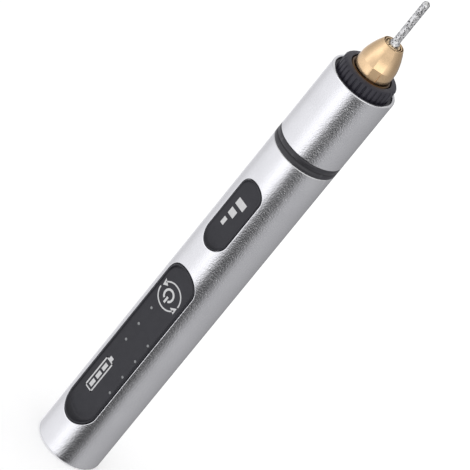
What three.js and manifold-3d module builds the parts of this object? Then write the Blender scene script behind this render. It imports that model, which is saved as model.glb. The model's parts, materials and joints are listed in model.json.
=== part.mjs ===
import * as THREE from "three";
import { mergeVertices } from "three/addons/utils/BufferGeometryUtils.js";
import Module from "manifold-3d";

// Cordless engraving pen, in millimetres.
// It stands on its flat rear end: the pen's axis is +Z, and both inset panels face -Y.

const wasm = await Module();
wasm.setup();

// Barrel, front sleeve and the ring between them
const barrelRadius = 10;
const barrelWall = 2.2;
const barrelRearRound = 1;
const edgeChamfer = 0.3;
const accentWidth = 3.3;
const accentGrooveWidth = 0.5;
const accentGrooveDepth = 0.3;
const sleeveLength = 24.2;
const sleeveWall = 1.8;
const mouthWall = 0.8;

// Inset panels on the barrel
const keyBehindPin = 1.5;
const keyBeyondBoard = 2.4;
const keyWidth = 11.9;
const keyThickness = 1.1;
const keyEdgeGap = 0.15;
const keyRimWidth = 0.5;
const inlaySetback = 11.8;
const inlayLength = 24.2;
const inlayWidth = 8.8;
const inlayThickness = 0.6;
const inlayEdgeGap = 0.1;
const inlayRimWidth = 0.35;

// Running, sliding and seating clearances
const seatGap = 0.05;
const slideGap = 0.1;
const looseGap = 0.3;
const cutOverrun = 1;

// Rear cap and its screws
const capRim = 1.6;
const capThickness = 1.5;
const capSpigotWall = 1.05;
const capSpigotDepth = 2.4;
const capScrewMargin = 0.15;
const capScrewHeadRadius = 1.35;
const capScrewHeadHeight = 0.8;
const capScrewRadius = 0.75;
const capScrewLength = 8.1;
const capScrewSink = 0.1;
const crossSlotLength = 1.5;
const crossSlotWidth = 0.35;
const crossSlotDepth = 0.4;

// Charging socket
const socketWidth = 8.94;
const socketHeight = 3.26;
const socketDepth = 7.3;
const socketWall = 0.3;
const socketRecess = 0.3;
const tongueWidth = 6.7;
const tongueThickness = 0.7;
const tongueRecess = 1;
const chargeBoardMargin = 0.43;
const chargeBoardThickness = 0.8;
const chargeBoardLength = 9.7;

// Chassis that carries the cell, the boards and the key's pin
const chassisBeyondKey = 5.7;
const chassisWall = 0.7;
const leadChannelWidth = 1.4;
const bayRearGap = 0.4;
const bayWall = 1.2;
const keyUnderClearance = 0.2;

// Lithium cell and its tabs
const cellRadius = 5;
const cellLength = 44.2;
const cellButtonRadius = 2.6;
const cellButtonHeight = 0.9;
const cellEdgeRound = 0.4;
const tabThickness = 0.2;
const tabWidth = 4;

// Control board and what it carries
const boardEdgeGap = 0.17;
const boardThickness = 0.8;
const boardRearGap = 0.2;
const boardBeyondBay = 7.7;
const switchSetback = 10.6;
const switchSide = 4.5;
const switchHeight = 1.2;
const buttonRadius = 1;
const buttonReach = 0.6;
const buttonDepth = 0.5;
const buttonTravel = 0.33;
const ledLength = 1.6;
const ledWidth = 0.8;
const ledHeight = 0.5;
const lightPitch = 6.25;
const statusLightSide = -2.25;
const statusLightSetback = 29.9;
const statusLightCount = 3;
const speedLightSide = 4.38;
const speedLightSetback = 44.25;
const speedLightCount = 4;
const lightRadius = 0.42;
const guideThickness = 0.5;
const guideWidth = 1.3;
const guideOverhang = 1;

// Power key's pin, nub and retaining tongue
const pinRadius = 0.5;
const pinInset = 0.18;
const pinSetback = 1.2;
const pinBelowKey = 1.17;
const lugWidth = 3.8;
const lugLength = 1.9;
const lugWall = 0.2;
const nubRadius = 1.2;
const nubReach = 0.12;
const tongueHookWidth = 5;
const tongueHookThickness = 0.8;
const tongueHookReach = 1.2;
const tongueHookRoot = 4.6;

// Motor
const motorSideGap = 0.8;
const motorStandoff = 0.4;
const motorLength = 25;
const motorCanWall = 0.6;
const motorBossRadius = 3;
const motorBossHeight = 1.2;
const endBellThickness = 1.7;
const shaftRadius = 1;
const shaftRearReach = 1.5;
const shaftFrontReach = 8.3;
const bushRadius = 2;
const bushLength = 1.5;
const magnetThickness = 1.5;
const magnetLength = 16;
const magnetAngle = 130;
const rotorGap = 0.4;
const rotorLength = 13;
const rotorPoles = 3;
const rotorHubRadius = 1.9;
const rotorNeckWidth = 1.5;
const rotorFaceThickness = 0.9;
const rotorSlotWidth = 1.1;
const windingEndLength = 1.5;
const windingGap = 0.45;
const commutatorRadius = 1.8;
const commutatorLength = 2.2;
const commutatorSlitWidth = 0.25;
const commutatorSlitDepth = 0.35;
const terminalThickness = 0.3;
const terminalWidth = 1.4;
const terminalLength = 2;
const terminalInset = 0.9;
const motorScrewRadius = 0.7;
const motorScrewHeadRadius = 1.3;
const motorScrewHeadHeight = 0.8;
const motorScrewGrip = 1.8;

// Collar that joins barrel and sleeve and carries the motor
const collarWall = 1.5;
const collarBulkhead = 2;
const collarBarrelReach = 12.3;
const collarSleeveReach = 2.1;

// Shaft coupling, pressed on the motor shaft and on the spindle's stub
const couplingRadius = 3;
const couplingLength = 10;
const couplingStandoff = 4.4;
const stubRadius = 1.5;
const stubGap = 0.8;

// Bearings and the block that holds them
const bearingRadius = 6;
const bearingBore = 3;
const bearingWidth = 4;
const raceShare = 1 / 3;
const bearingSpacing = 10;
const blockLip = 0.6;
const blockLipInset = 0.9;
const ballCount = 7;
const ballGap = 0.08;
const cageThickness = 0.3;
const cageHeight = 1.1;

// Spindle
const spindleShoulder = 3.8;
const spindleNeckRadius = 4.4;
const threadRadius = 4;
const threadEndGap = 0.4;

// Ribbed nose ring
const noseReach = 3.65;
const noseStep = 0.85;
const noseRibs = 32;
const noseRibDepth = 0.38;
const noseRibShare = 0.62;
const noseChamfer = 0.7;
const noseFlangeThickness = 1.4;
const noseFlangeRecess = 0.6;
const noseRecessDepth = 1.35;

// Collet nut
const nutReach = 10.15;
const nutBaseRadius = 5.76;
const nutFrontRadius = 3.22;
const nutCurve = 2.18;
const nutSkirt = 0.55;
const nutLipReach = 0.34;
const nutLipHeight = 0.45;
const nutGrooveDepth = 0.12;
const nutGrooveHeight = 0.25;
const nutMouthRadius = 2.35;
const nutMouthDepth = 0.7;
const nutFaceChamfer = 0.2;
const nutConeLength = 3.8;
const nutFacetWidth = 2.8;
const nutFacetAngle = -48.5;
const nutFlatDistance = 5.1;
const nutFlatHeight = 3.55;
const threadGap = 0.06;

// Collet
const colletRadius = 2.4;
const colletLength = 10.7;
const colletConeRadius = 3.2;
const colletRecess = 0.1;
const colletSlotWidth = 0.35;
const colletSlotLength = 8.6;

// Engraving bit
const shankRadius = 1.5;
const bitRadius = 1.125;
const bitReach = 15.7;
const bitShankBeyondNut = 0.3;
const bitTaper = 1.2;
const bitInsert = 22.3;

// Leads inside the pen
const leadRadius = 0.5;
const leadArcSegments = 4;
const leadSteps = 10;
const leadRouteShares = [0.2, 0.5, 0.8];
const leadLanding = 2;
const leadBend = 1.1;
const chargeLeadSide = 3.5;

// Facets round the pen, and round its small pieces
const shellSides = 52;
const nutSides = 40;
const midSides = 28;
const smallSides = 14;
const lightSides = 10;
const arcSegments = 7;
const roundSteps = 4;
const nutSteps = 7;
const tipSteps = 4;

// Places along the pen, from the rear end to the bit's tip: each follows from the one before
const chassisStart = capThickness + capSpigotDepth + looseGap;
const chargeBoardStart = capThickness + looseGap;
const chargeBoardEnd = chargeBoardStart + chargeBoardLength;
const bayStart = chargeBoardEnd + 2 * leadBend + bayRearGap;
const cellStart = bayStart + 2 * tabThickness;
const cellEnd = cellStart + cellLength;
const bayEnd = cellEnd + 2 * tabThickness;
const leadBayStart = bayEnd + bayWall;
const pinPlace = bayStart - pinSetback;
const keyStart = pinPlace - keyBehindPin;
const boardStart = bayStart + boardRearGap;
const boardEnd = leadBayStart + boardBeyondBay;
const keyEnd = boardEnd + keyBeyondBoard;
const keyLength = keyEnd - keyStart;
const chassisEnd = keyEnd + chassisBeyondKey;
const motorStart = chassisEnd + motorStandoff + endBellThickness;
const motorEnd = motorStart + motorLength;
const collarStart = motorEnd + slideGap;
const barrelLength = collarStart + collarBarrelReach;
const accentStart = barrelLength;
const sleeveStart = accentStart + accentWidth;
const blockStart = sleeveStart + collarSleeveReach + looseGap;
const sleeveEnd = sleeveStart + sleeveLength;
const noseEnd = sleeveEnd + noseReach;
const nutStart = noseEnd - nutSkirt;
const nutEnd = noseEnd + nutReach;
const nutConeEnd = nutEnd - nutMouthDepth;
const nutConeStart = nutConeEnd - nutConeLength;
const threadStart = nutStart - slideGap;
const threadEnd = nutConeStart - threadEndGap;
const bitEnd = nutEnd + bitReach;

// Places beside that chain
const inlayStart = barrelLength - inlaySetback - inlayLength;
const switchPlace = keyEnd - switchSetback;
const couplingStart = motorEnd + couplingStandoff;

// Distances from the pen's axis: the shell, then the key and what lies under it
const boreRadius = barrelRadius - barrelWall;
const capRadius = barrelRadius - capRim;
const sleeveBore = barrelRadius - sleeveWall;
const mouthRadius = barrelRadius - mouthWall;
const mouthDepth = noseFlangeRecess + noseFlangeThickness + slideGap;
const noseRadius = mouthRadius - noseStep;
const nutLipRadius = nutBaseRadius + nutLipReach;
const inlayFace = Math.sqrt(barrelRadius ** 2 - (inlayWidth / 2) ** 2);
const inlayBack = inlayFace - inlayThickness;
const keyFace = Math.sqrt(barrelRadius ** 2 - (keyWidth / 2) ** 2);
const keyBack = keyFace - keyThickness;
const pinDrop = keyBack - pinBelowKey;
const lugDrop = pinDrop - pinRadius - lugWall;
const nubEnd = keyBack - nubReach;
const boardFace = nubEnd - seatGap - buttonReach - switchHeight;
const boardSeat = boardFace - boardThickness;
const chassisRadius = boreRadius - slideGap;
const capScrewSide = chassisRadius - capScrewHeadRadius - capScrewMargin;
const bayRadius = cellRadius + slideGap;
const cellOffset = chassisRadius - chassisWall - bayRadius;
const collarRadius = boreRadius - slideGap;
const collarBore = collarRadius - collarWall;
const motorRadius = boreRadius - motorSideGap;
const motorScrewSide = (motorBossRadius + collarBore) / 2;
const terminalSide = bayRadius - terminalInset;

// The two sides of a pair: left and right, or rear and front
const bothSides = [-1, 1];

const aluminium = new THREE.MeshStandardMaterial({ color: 0xc3c5c9, roughness: 0.34, metalness: 1 });
const panelBlack = new THREE.MeshStandardMaterial({ color: 0x3d3d41, roughness: 0.5, metalness: 0 });
const ringBlack = new THREE.MeshStandardMaterial({ color: 0x222226, roughness: 0.55, metalness: 0 });
const brass = new THREE.MeshStandardMaterial({ color: 0xcfa468, roughness: 0.22, metalness: 1 });
const steel = new THREE.MeshStandardMaterial({ color: 0xb9babd, roughness: 0.3, metalness: 1 });
const gritSteel = new THREE.MeshStandardMaterial({ color: 0xa9a9a8, roughness: 0.6, metalness: 0.8 });
const innerPlastic = new THREE.MeshStandardMaterial({ color: 0x2c2d30, roughness: 0.7, metalness: 0 });
const boardGreen = new THREE.MeshStandardMaterial({ color: 0x1f5a38, roughness: 0.5, metalness: 0 });
const cellWrap = new THREE.MeshStandardMaterial({ color: 0x2d6fa8, roughness: 0.4, metalness: 0 });
const copper = new THREE.MeshStandardMaterial({ color: 0xb8703f, roughness: 0.35, metalness: 1 });
const magnetGrey = new THREE.MeshStandardMaterial({ color: 0x3a3a3c, roughness: 0.8, metalness: 0.2 });
const clearPlastic = new THREE.MeshStandardMaterial({ color: 0xb9bcc0, roughness: 0.3, metalness: 0 });
const ledWhite = new THREE.MeshStandardMaterial({ color: 0xf0ead2, roughness: 0.4, metalness: 0 });
const leadRed = new THREE.MeshStandardMaterial({ color: 0xa82222, roughness: 0.5, metalness: 0 });
const leadBlack = new THREE.MeshStandardMaterial({ color: 0x1b1b1c, roughness: 0.5, metalness: 0 });

// A closed geometry as a solid that can be joined and cut
function solidFrom(geometry) {
  const bare = new THREE.BufferGeometry();
  bare.setAttribute("position", geometry.getAttribute("position").clone());
  if (geometry.index) bare.setIndex(geometry.index.clone());
  const merged = mergeVertices(bare, 1e-4);
  const corners = merged.index.array;
  const kept = [];
  for (let i = 0; i < corners.length; i += 3) {
    const [a, b, c] = [corners[i], corners[i + 1], corners[i + 2]];
    if (a !== b && b !== c && c !== a) kept.push(a, b, c);
  }
  const vertProperties = new Float32Array(merged.getAttribute("position").array);
  const triVerts = new Uint32Array(kept);
  return new wasm.Manifold(new wasm.Mesh({ numProp: 3, vertProperties, triVerts }));
}

function geometryFrom(solid) {
  const mesh = solid.getMesh();
  const geometry = new THREE.BufferGeometry();
  geometry.setAttribute("position", new THREE.BufferAttribute(mesh.vertProperties, 3));
  geometry.setIndex(new THREE.BufferAttribute(mesh.triVerts, 1));
  geometry.computeVertexNormals();
  return geometry;
}

function inOrder(a, b) {
  return [Math.min(a, b), Math.max(a, b)];
}

// A solid of revolution about Z, from a closed outline of [radius, height] points
function turned(outline, sides = midSides) {
  let area = 0;
  outline.forEach(([r, z], i) => {
    const [nextR, nextZ] = outline[(i + 1) % outline.length];
    area += r * nextZ - nextR * z;
  });
  const ordered = area > 0 ? outline : [...outline].reverse();
  const loop = [...ordered, ordered[0]].map(([r, z]) => new THREE.Vector2(r, z));
  const geometry = new THREE.LatheGeometry(loop, sides);
  geometry.rotateX(Math.PI / 2);
  return solidFrom(geometry);
}

function disc(radius, from, to, sides = midSides) {
  return turned([[0, from], [radius, from], [radius, to], [0, to]], sides);
}

function tube(inner, outer, from, to, sides = midSides) {
  return turned([[inner, from], [outer, from], [outer, to], [inner, to]], sides);
}

function block(xs, ys, zs) {
  const geometry = new THREE.BoxGeometry(xs[1] - xs[0], ys[1] - ys[0], zs[1] - zs[0]);
  geometry.translate((xs[0] + xs[1]) / 2, (ys[0] + ys[1]) / 2, (zs[0] + zs[1]) / 2);
  return solidFrom(geometry);
}

// An outline drawn in X and Z, given thickness along Y between two distances in front of the axis
function slab(shape, nearest, farthest) {
  const geometry = new THREE.ExtrudeGeometry(shape, {
    depth: farthest - nearest,
    bevelEnabled: false,
    curveSegments: arcSegments,
  });
  geometry.rotateX(Math.PI / 2);
  geometry.translate(0, -nearest, 0);
  return solidFrom(geometry);
}

// A slot outline with round ends, along Z from start over the given length
function slotShape(start, length, width) {
  const radius = width / 2;
  const shape = new THREE.Shape();
  shape.absarc(0, start + length - radius, radius, 0, Math.PI, false);
  shape.absarc(0, start + radius, radius, Math.PI, 2 * Math.PI, false);
  shape.closePath();
  return shape;
}

// A straight pin along X or towards -Y, round a point
function crossPin(radius, length, y, z, sides = smallSides) {
  const geometry = new THREE.CylinderGeometry(radius, radius, length, sides);
  geometry.rotateZ(Math.PI / 2);
  geometry.translate(0, y, z);
  return solidFrom(geometry);
}

function facingPin(radius, nearest, farthest, x, z, sides = smallSides) {
  const geometry = new THREE.CylinderGeometry(radius, radius, farthest - nearest, sides);
  geometry.translate(x, -(nearest + farthest) / 2, z);
  return solidFrom(geometry);
}

function extrudedAlongZ(shape, from, to) {
  const geometry = new THREE.ExtrudeGeometry(shape, {
    depth: to - from,
    bevelEnabled: false,
    curveSegments: arcSegments,
  });
  geometry.translate(0, 0, from);
  return solidFrom(geometry);
}

const pen = new THREE.Group();
pen.name = "engraving_pen";

function addNode(name, solid, material, place = [0, 0, 0], group = pen) {
  const mesh = new THREE.Mesh(geometryFrom(solid), material);
  mesh.name = name;
  mesh.position.set(...place);
  group.add(mesh);
}

function addGroup(height) {
  const group = new THREE.Group();
  group.position.z = height;
  pen.add(group);
  return group;
}

// Barrel: a tube with a slot for the key, a shallow pocket for the inlay and a seat for the cap
function makeBarrel() {
  const capSeat = capRadius + slideGap;
  const round = [];
  for (let i = 0; i <= roundSteps; i++) {
    const angle = (i / roundSteps) * (Math.PI / 2);
    const r = barrelRadius - barrelRearRound * (1 - Math.sin(angle));
    round.push([r, barrelRearRound * (1 - Math.cos(angle))]);
  }
  const body = turned(
    [
      [capSeat, 0],
      ...round,
      [barrelRadius, barrelLength - edgeChamfer],
      [barrelRadius - edgeChamfer, barrelLength],
      [boreRadius, barrelLength],
      [boreRadius, capThickness],
      [capSeat, capThickness],
    ],
    shellSides,
  );
  const keySlot = slab(keyOutline(0), 0, barrelRadius + cutOverrun);
  const inlayPocket = slab(inlayOutline(0), inlayBack, barrelRadius + cutOverrun);
  return body.subtract(keySlot).subtract(inlayPocket);
}

// The outlines of the key's slot and of the inlay's pocket, drawn in by an inset
function keyOutline(inset) {
  return slotShape(keyStart + inset, keyLength - 2 * inset, keyWidth - 2 * inset);
}

function inlayOutline(inset) {
  return slotShape(inlayStart + inset, inlayLength - 2 * inset, inlayWidth - 2 * inset);
}

// A panel in its opening: a flat face within a thin rim that follows the barrel's surface
function makePanel(outline, edgeGap, rimWidth, back, face) {
  const outer = slab(outline(edgeGap), back, barrelRadius + cutOverrun);
  const hollow = slab(outline(edgeGap + rimWidth), face, barrelRadius + 2 * cutOverrun);
  return outer.subtract(hollow).intersect(disc(barrelRadius, 0, barrelLength, shellSides));
}

function makeInlay() {
  return makePanel(inlayOutline, inlayEdgeGap, inlayRimWidth, inlayBack, inlayFace);
}

function makeAccentRing() {
  const middle = accentStart + accentWidth / 2;
  const inner = boreRadius + slideGap;
  return turned(
    [
      [inner, accentStart],
      [barrelRadius - edgeChamfer, accentStart],
      [barrelRadius, accentStart + edgeChamfer],
      [barrelRadius, middle - accentGrooveWidth / 2],
      [barrelRadius - accentGrooveDepth, middle],
      [barrelRadius, middle + accentGrooveWidth / 2],
      [barrelRadius, sleeveStart - edgeChamfer],
      [barrelRadius - edgeChamfer, sleeveStart],
      [inner, sleeveStart],
    ],
    shellSides,
  );
}

function makeSleeve() {
  return turned(
    [
      [sleeveBore, sleeveStart],
      [barrelRadius - edgeChamfer, sleeveStart],
      [barrelRadius, sleeveStart + edgeChamfer],
      [barrelRadius, sleeveEnd - edgeChamfer],
      [barrelRadius - edgeChamfer, sleeveEnd],
      [mouthRadius, sleeveEnd],
      [mouthRadius, sleeveEnd - mouthDepth],
      [sleeveBore, sleeveEnd - mouthDepth],
    ],
    shellSides,
  );
}

// Rear cap with the charging slot and two screw holes
function makeRearCap() {
  const spigot = chassisRadius;
  const inner = spigot - capSpigotWall;
  let cap = turned(
    [
      [0, 0],
      [capRadius, 0],
      [capRadius, capThickness],
      [spigot, capThickness],
      [spigot, capThickness + capSpigotDepth],
      [inner, capThickness + capSpigotDepth],
      [inner, capThickness],
      [0, capThickness],
    ],
    shellSides,
  );
  const slot = endOutline(socketWidth + 2 * slideGap, socketHeight + 2 * slideGap);
  cap = cap.subtract(extrudedAlongZ(slot, -cutOverrun, capThickness + cutOverrun));
  for (const side of bothSides) {
    const hole = disc(
      capScrewRadius + slideGap,
      -cutOverrun,
      capThickness + capSpigotDepth + cutOverrun,
      smallSides,
    );
    const headSeat = disc(
      capScrewHeadRadius + slideGap,
      -cutOverrun,
      capScrewSink + capScrewHeadHeight,
      smallSides,
    );
    cap = cap.subtract(hole.add(headSeat).translate([side * capScrewSide, 0, 0]));
  }
  return cap;
}

// A flat outline with round sides, across X, centred on the axis
function endOutline(width, height) {
  const radius = height / 2;
  const reach = width / 2 - radius;
  const shape = new THREE.Shape();
  shape.absarc(reach, 0, radius, -Math.PI / 2, Math.PI / 2, false);
  shape.absarc(-reach, 0, radius, Math.PI / 2, (3 * Math.PI) / 2, false);
  shape.closePath();
  return shape;
}

// A cap screw, from the outer face of its head to its point
function makeCapScrew() {
  const headEnd = capScrewHeadHeight - seatGap;
  const screw = turned(
    [
      [0, 0],
      [capScrewHeadRadius, 0],
      [capScrewHeadRadius, headEnd],
      [capScrewRadius, headEnd],
      [capScrewRadius, capScrewLength],
      [0, capScrewLength + capScrewRadius],
    ],
    smallSides,
  );
  return screw.subtract(crossCut(0, 1));
}

// The cross recess in a screw's head, into the head along +Z for way 1 and along -Z for way -1
function crossCut(headTop, way) {
  const depth = inOrder(headTop - way * cutOverrun, headTop + way * crossSlotDepth);
  const long = [-crossSlotLength / 2, crossSlotLength / 2];
  const narrow = [-crossSlotWidth / 2, crossSlotWidth / 2];
  return block(long, narrow, depth).add(block(narrow, long, depth));
}

// Charging socket: a shell closed at its inner end, the tongue in it, and the board under it
function makeSocketShell() {
  const outer = extrudedAlongZ(endOutline(socketWidth, socketHeight), 0, socketDepth);
  const inside = endOutline(socketWidth - 2 * socketWall, socketHeight - 2 * socketWall);
  return outer.subtract(extrudedAlongZ(inside, -cutOverrun, socketDepth - socketWall));
}

function makeSocketTongue() {
  return block(
    [-tongueWidth / 2, tongueWidth / 2],
    [-tongueThickness / 2, tongueThickness / 2],
    [tongueRecess, socketDepth - socketWall],
  );
}

const chargeBoardTop = socketHeight / 2;
const chargeBoardHalf = socketWidth / 2 + chargeBoardMargin;

function makeChargeBoard() {
  return block(
    [-chargeBoardHalf, chargeBoardHalf],
    [chargeBoardTop, chargeBoardTop + chargeBoardThickness],
    [chargeBoardStart, chargeBoardEnd],
  );
}

// Chassis: a round block behind the cell, then a trough for cell and leads with the board on top
function troughCut(from, to) {
  const round = disc(bayRadius, from, to).translate([0, cellOffset, 0]);
  const open = block([-bayRadius, bayRadius], [-boardFace - cutOverrun, cellOffset], [from, to]);
  return round.add(open);
}

function makeChassis() {
  const reach = boreRadius + cutOverrun;
  const pastEnd = chassisEnd + cutOverrun;
  const keyRoom = keyBack - keyUnderClearance;
  let chassis = disc(chassisRadius, chassisStart, chassisEnd);
  const overBlock = block([-reach, reach], [-reach, -keyRoom], [chassisStart - cutOverrun, pastEnd]);
  const overBoard = block([-reach, reach], [-reach, -boardSeat], [boardStart - slideGap, pastEnd]);
  chassis = chassis.subtract(overBlock).subtract(overBoard);
  chassis = chassis.subtract(troughCut(bayStart, bayEnd));
  chassis = chassis.subtract(troughCut(leadBayStart, pastEnd));
  const boardRoom = chargeBoardTop + chargeBoardThickness + slideGap;
  const socketPocket = block(
    [-chargeBoardHalf - slideGap, chargeBoardHalf + slideGap],
    [-socketHeight / 2 - slideGap, boardRoom],
    [chassisStart - cutOverrun, chargeBoardEnd + slideGap],
  );
  chassis = chassis.subtract(socketPocket);
  const screwPoint = capScrewSink + capScrewLength + capScrewRadius;
  for (const side of bothSides) {
    const hole = disc(capScrewRadius + seatGap, -cutOverrun, screwPoint + slideGap, smallSides);
    chassis = chassis.subtract(hole.translate([side * capScrewSide, 0, 0]));
  }
  const lugRoom = block(
    [-lugWidth / 2 - slideGap, lugWidth / 2 + slideGap],
    [-reach, -lugDrop + looseGap],
    [pinPlace - lugLength / 2 - looseGap, boardStart + cutOverrun],
  );
  chassis = chassis.subtract(lugRoom);
  for (const side of bothSides) {
    const x = side * chargeLeadSide;
    const channel = block(
      [x - leadChannelWidth / 2, x + leadChannelWidth / 2],
      [-boardSeat, chargeBoardTop],
      [chargeBoardEnd, bayStart + cutOverrun],
    );
    chassis = chassis.subtract(channel);
  }
  const pinHole = crossPin(pinRadius + seatGap, 2 * (pinHalf + slideGap), -pinDrop, pinPlace);
  return chassis.subtract(pinHole);
}

// The cell lies in its bay with a welded tab at each end that reaches the board
function makeCell() {
  const shoulder = cellLength - cellButtonHeight;
  return turned([
    [0, 0],
    [cellRadius - cellEdgeRound, 0],
    [cellRadius, cellEdgeRound],
    [cellRadius, shoulder - cellEdgeRound],
    [cellRadius - cellEdgeRound, shoulder],
    [cellButtonRadius, shoulder],
    [cellButtonRadius, cellLength],
    [0, cellLength],
  ]);
}

function makeTab() {
  return block(
    [-tabWidth / 2, tabWidth / 2],
    [-boardSeat + seatGap, cellOffset + cellButtonRadius],
    [0, tabThickness],
  );
}

// Control board, the switch under the key and one lamp under each light
function makeControlBoard() {
  const half = Math.sqrt(chassisRadius ** 2 - boardFace ** 2) - boardEdgeGap;
  return block(
    [-half, half],
    [-boardFace, -boardSeat],
    [boardStart, boardEnd],
  );
}

function makeSwitchBody() {
  const half = switchSide / 2;
  const wellFloor = switchHeight - buttonDepth - buttonTravel - slideGap;
  const well = facingPin(buttonRadius + slideGap, wellFloor, switchHeight + cutOverrun, 0, 0);
  return block([-half, half], [-switchHeight, 0], [-half, half]).subtract(well);
}

function makeSwitchButton() {
  return facingPin(buttonRadius, switchHeight - buttonDepth, switchHeight + buttonReach, 0, 0);
}

const lightRows = [
  { name: "status", side: statusLightSide, setback: statusLightSetback, count: statusLightCount },
  { name: "speed", side: speedLightSide, setback: speedLightSetback, count: speedLightCount },
];

function lightPlaces(row) {
  return Array.from({ length: row.count }, (_, i) => keyEnd - row.setback + i * lightPitch);
}

function makeLamp() {
  return block([-ledWidth / 2, ledWidth / 2], [-ledHeight, 0], [-ledLength / 2, ledLength / 2]);
}

// A bar behind the key with one light pin for each lamp, flush with the key's face
function makeLightGuide(row) {
  const places = lightPlaces(row);
  let guide = block(
    [row.side - guideWidth / 2, row.side + guideWidth / 2],
    [-keyBack, -keyBack + guideThickness],
    [places[0] - guideOverhang, places[places.length - 1] + guideOverhang],
  );
  for (const z of places) {
    const root = keyBack - guideThickness / 2;
    guide = guide.add(facingPin(lightRadius, root, keyFace, row.side, z, lightSides));
  }
  return guide;
}

// The power key rocks on a pin near its rear end, and a tongue under the barrel's wall keeps it in
const pinHalf = Math.sqrt(chassisRadius ** 2 - (pinDrop + pinRadius) ** 2) - pinInset;

function makeKey() {
  const panel = makePanel(keyOutline, keyEdgeGap, keyRimWidth, keyBack, keyFace);
  const lug = block(
    [-lugWidth / 2, lugWidth / 2],
    [-keyBack - keyThickness / 2, -lugDrop],
    [pinPlace - lugLength / 2, pinPlace + lugLength / 2],
  );
  const hookOuter = Math.sqrt(boreRadius ** 2 - (tongueHookWidth / 2) ** 2) - slideGap;
  const hook = block(
    [-tongueHookWidth / 2, tongueHookWidth / 2],
    [-hookOuter, -hookOuter + tongueHookThickness],
    [keyEnd - tongueHookRoot, keyEnd + tongueHookReach],
  );
  const hookRoot = block(
    [-tongueHookWidth / 2, tongueHookWidth / 2],
    [-keyBack - keyThickness / 2, -hookOuter + tongueHookThickness],
    [keyEnd - tongueHookRoot, keyEnd - tongueHookRoot / 2],
  );
  const nub = facingPin(nubRadius, nubEnd, keyBack + keyThickness / 2, 0, switchPlace);
  let key = panel.add(lug).add(hook).add(hookRoot).add(nub);
  key = key.subtract(crossPin(pinRadius + seatGap, lugWidth + cutOverrun, -pinDrop, pinPlace));
  for (const row of lightRows) {
    for (const z of lightPlaces(row)) {
      const hole = facingPin(
        lightRadius + seatGap,
        keyBack - cutOverrun,
        keyFace + cutOverrun,
        row.side,
        z,
        lightSides,
      );
      key = key.subtract(hole);
    }
  }
  return key;
}

// Motor, from the can's open rear end: can, end bell, bushes, magnets and terminals stand still
const magnetOuter = motorRadius - motorCanWall - seatGap;
const magnetInner = magnetOuter - magnetThickness;
const rotorRadius = magnetInner - rotorGap;
const windingRadius = rotorRadius - rotorFaceThickness - windingGap;
const rotorMiddle = (motorLength + windingEndLength) / 2;

function makeMotorCan() {
  const inner = motorRadius - motorCanWall;
  const bushSeat = bushRadius + seatGap;
  const floor = motorLength - motorCanWall;
  let can = turned([
    [inner, 0],
    [motorRadius, 0],
    [motorRadius, motorLength],
    [motorBossRadius, motorLength],
    [motorBossRadius, motorLength + motorBossHeight],
    [bushSeat, motorLength + motorBossHeight],
    [bushSeat, floor],
    [inner, floor],
  ]);
  const screwRoom = motorScrewRadius + seatGap;
  for (const side of bothSides) {
    const hole = disc(screwRoom, floor - cutOverrun, motorLength + cutOverrun, smallSides);
    can = can.subtract(hole.translate([0, side * motorScrewSide, 0]));
  }
  return can;
}

function makeEndBell() {
  const plug = motorRadius - motorCanWall - slideGap;
  const bushSeat = bushRadius + seatGap;
  let bell = turned([
    [bushSeat, -endBellThickness],
    [motorRadius, -endBellThickness],
    [motorRadius, -seatGap],
    [plug, -seatGap],
    [plug, motorCanWall],
    [bushSeat, motorCanWall],
  ]);
  for (const side of bothSides) {
    bell = bell.subtract(terminalBlade(side, slideGap));
  }
  return bell;
}

// Each terminal is one stamped strip: a blade through the end bell, an arm and the brush at its end
const brushStart = motorCanWall + slideGap;
const commutatorStart = brushStart + slideGap;

function terminalBlade(side, spread) {
  const x = side * terminalSide;
  return block(
    [x - terminalThickness / 2 - spread, x + terminalThickness / 2 + spread],
    [-terminalWidth / 2 - spread, terminalWidth / 2 + spread],
    [-endBellThickness - terminalLength, brushStart + terminalThickness],
  );
}

function makeTerminal(side) {
  const touch = side * (commutatorRadius + seatGap);
  const brushBack = touch + side * terminalThickness;
  const armEnd = side * terminalSide;
  const brush = block(
    inOrder(touch, brushBack),
    [-terminalWidth / 2, terminalWidth / 2],
    [brushStart, commutatorStart + commutatorLength],
  );
  const arm = block(
    inOrder(touch, armEnd),
    [-terminalWidth / 2, terminalWidth / 2],
    [brushStart, brushStart + terminalThickness],
  );
  return terminalBlade(side, 0).add(arm).add(brush);
}

function makeBush() {
  return tube(shaftRadius + seatGap, bushRadius, 0, bushLength, smallSides);
}

function makeMagnet(side) {
  const half = THREE.MathUtils.degToRad(magnetAngle / 2);
  const middle = side > 0 ? 0 : Math.PI;
  const shape = new THREE.Shape();
  shape.absarc(0, 0, magnetOuter, middle - half, middle + half, false);
  shape.absarc(0, 0, magnetInner, middle + half, middle - half, true);
  shape.closePath();
  return extrudedAlongZ(shape, rotorMiddle - magnetLength / 2, rotorMiddle + magnetLength / 2);
}

// Rotor, winding, commutator and shaft turn together
const rotorStart = rotorMiddle - rotorLength / 2;
const rotorEnd = rotorStart + rotorLength;

function makeMotorShaft() {
  const from = -endBellThickness - shaftRearReach;
  return disc(shaftRadius, from, motorLength + shaftFrontReach, smallSides);
}

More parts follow.
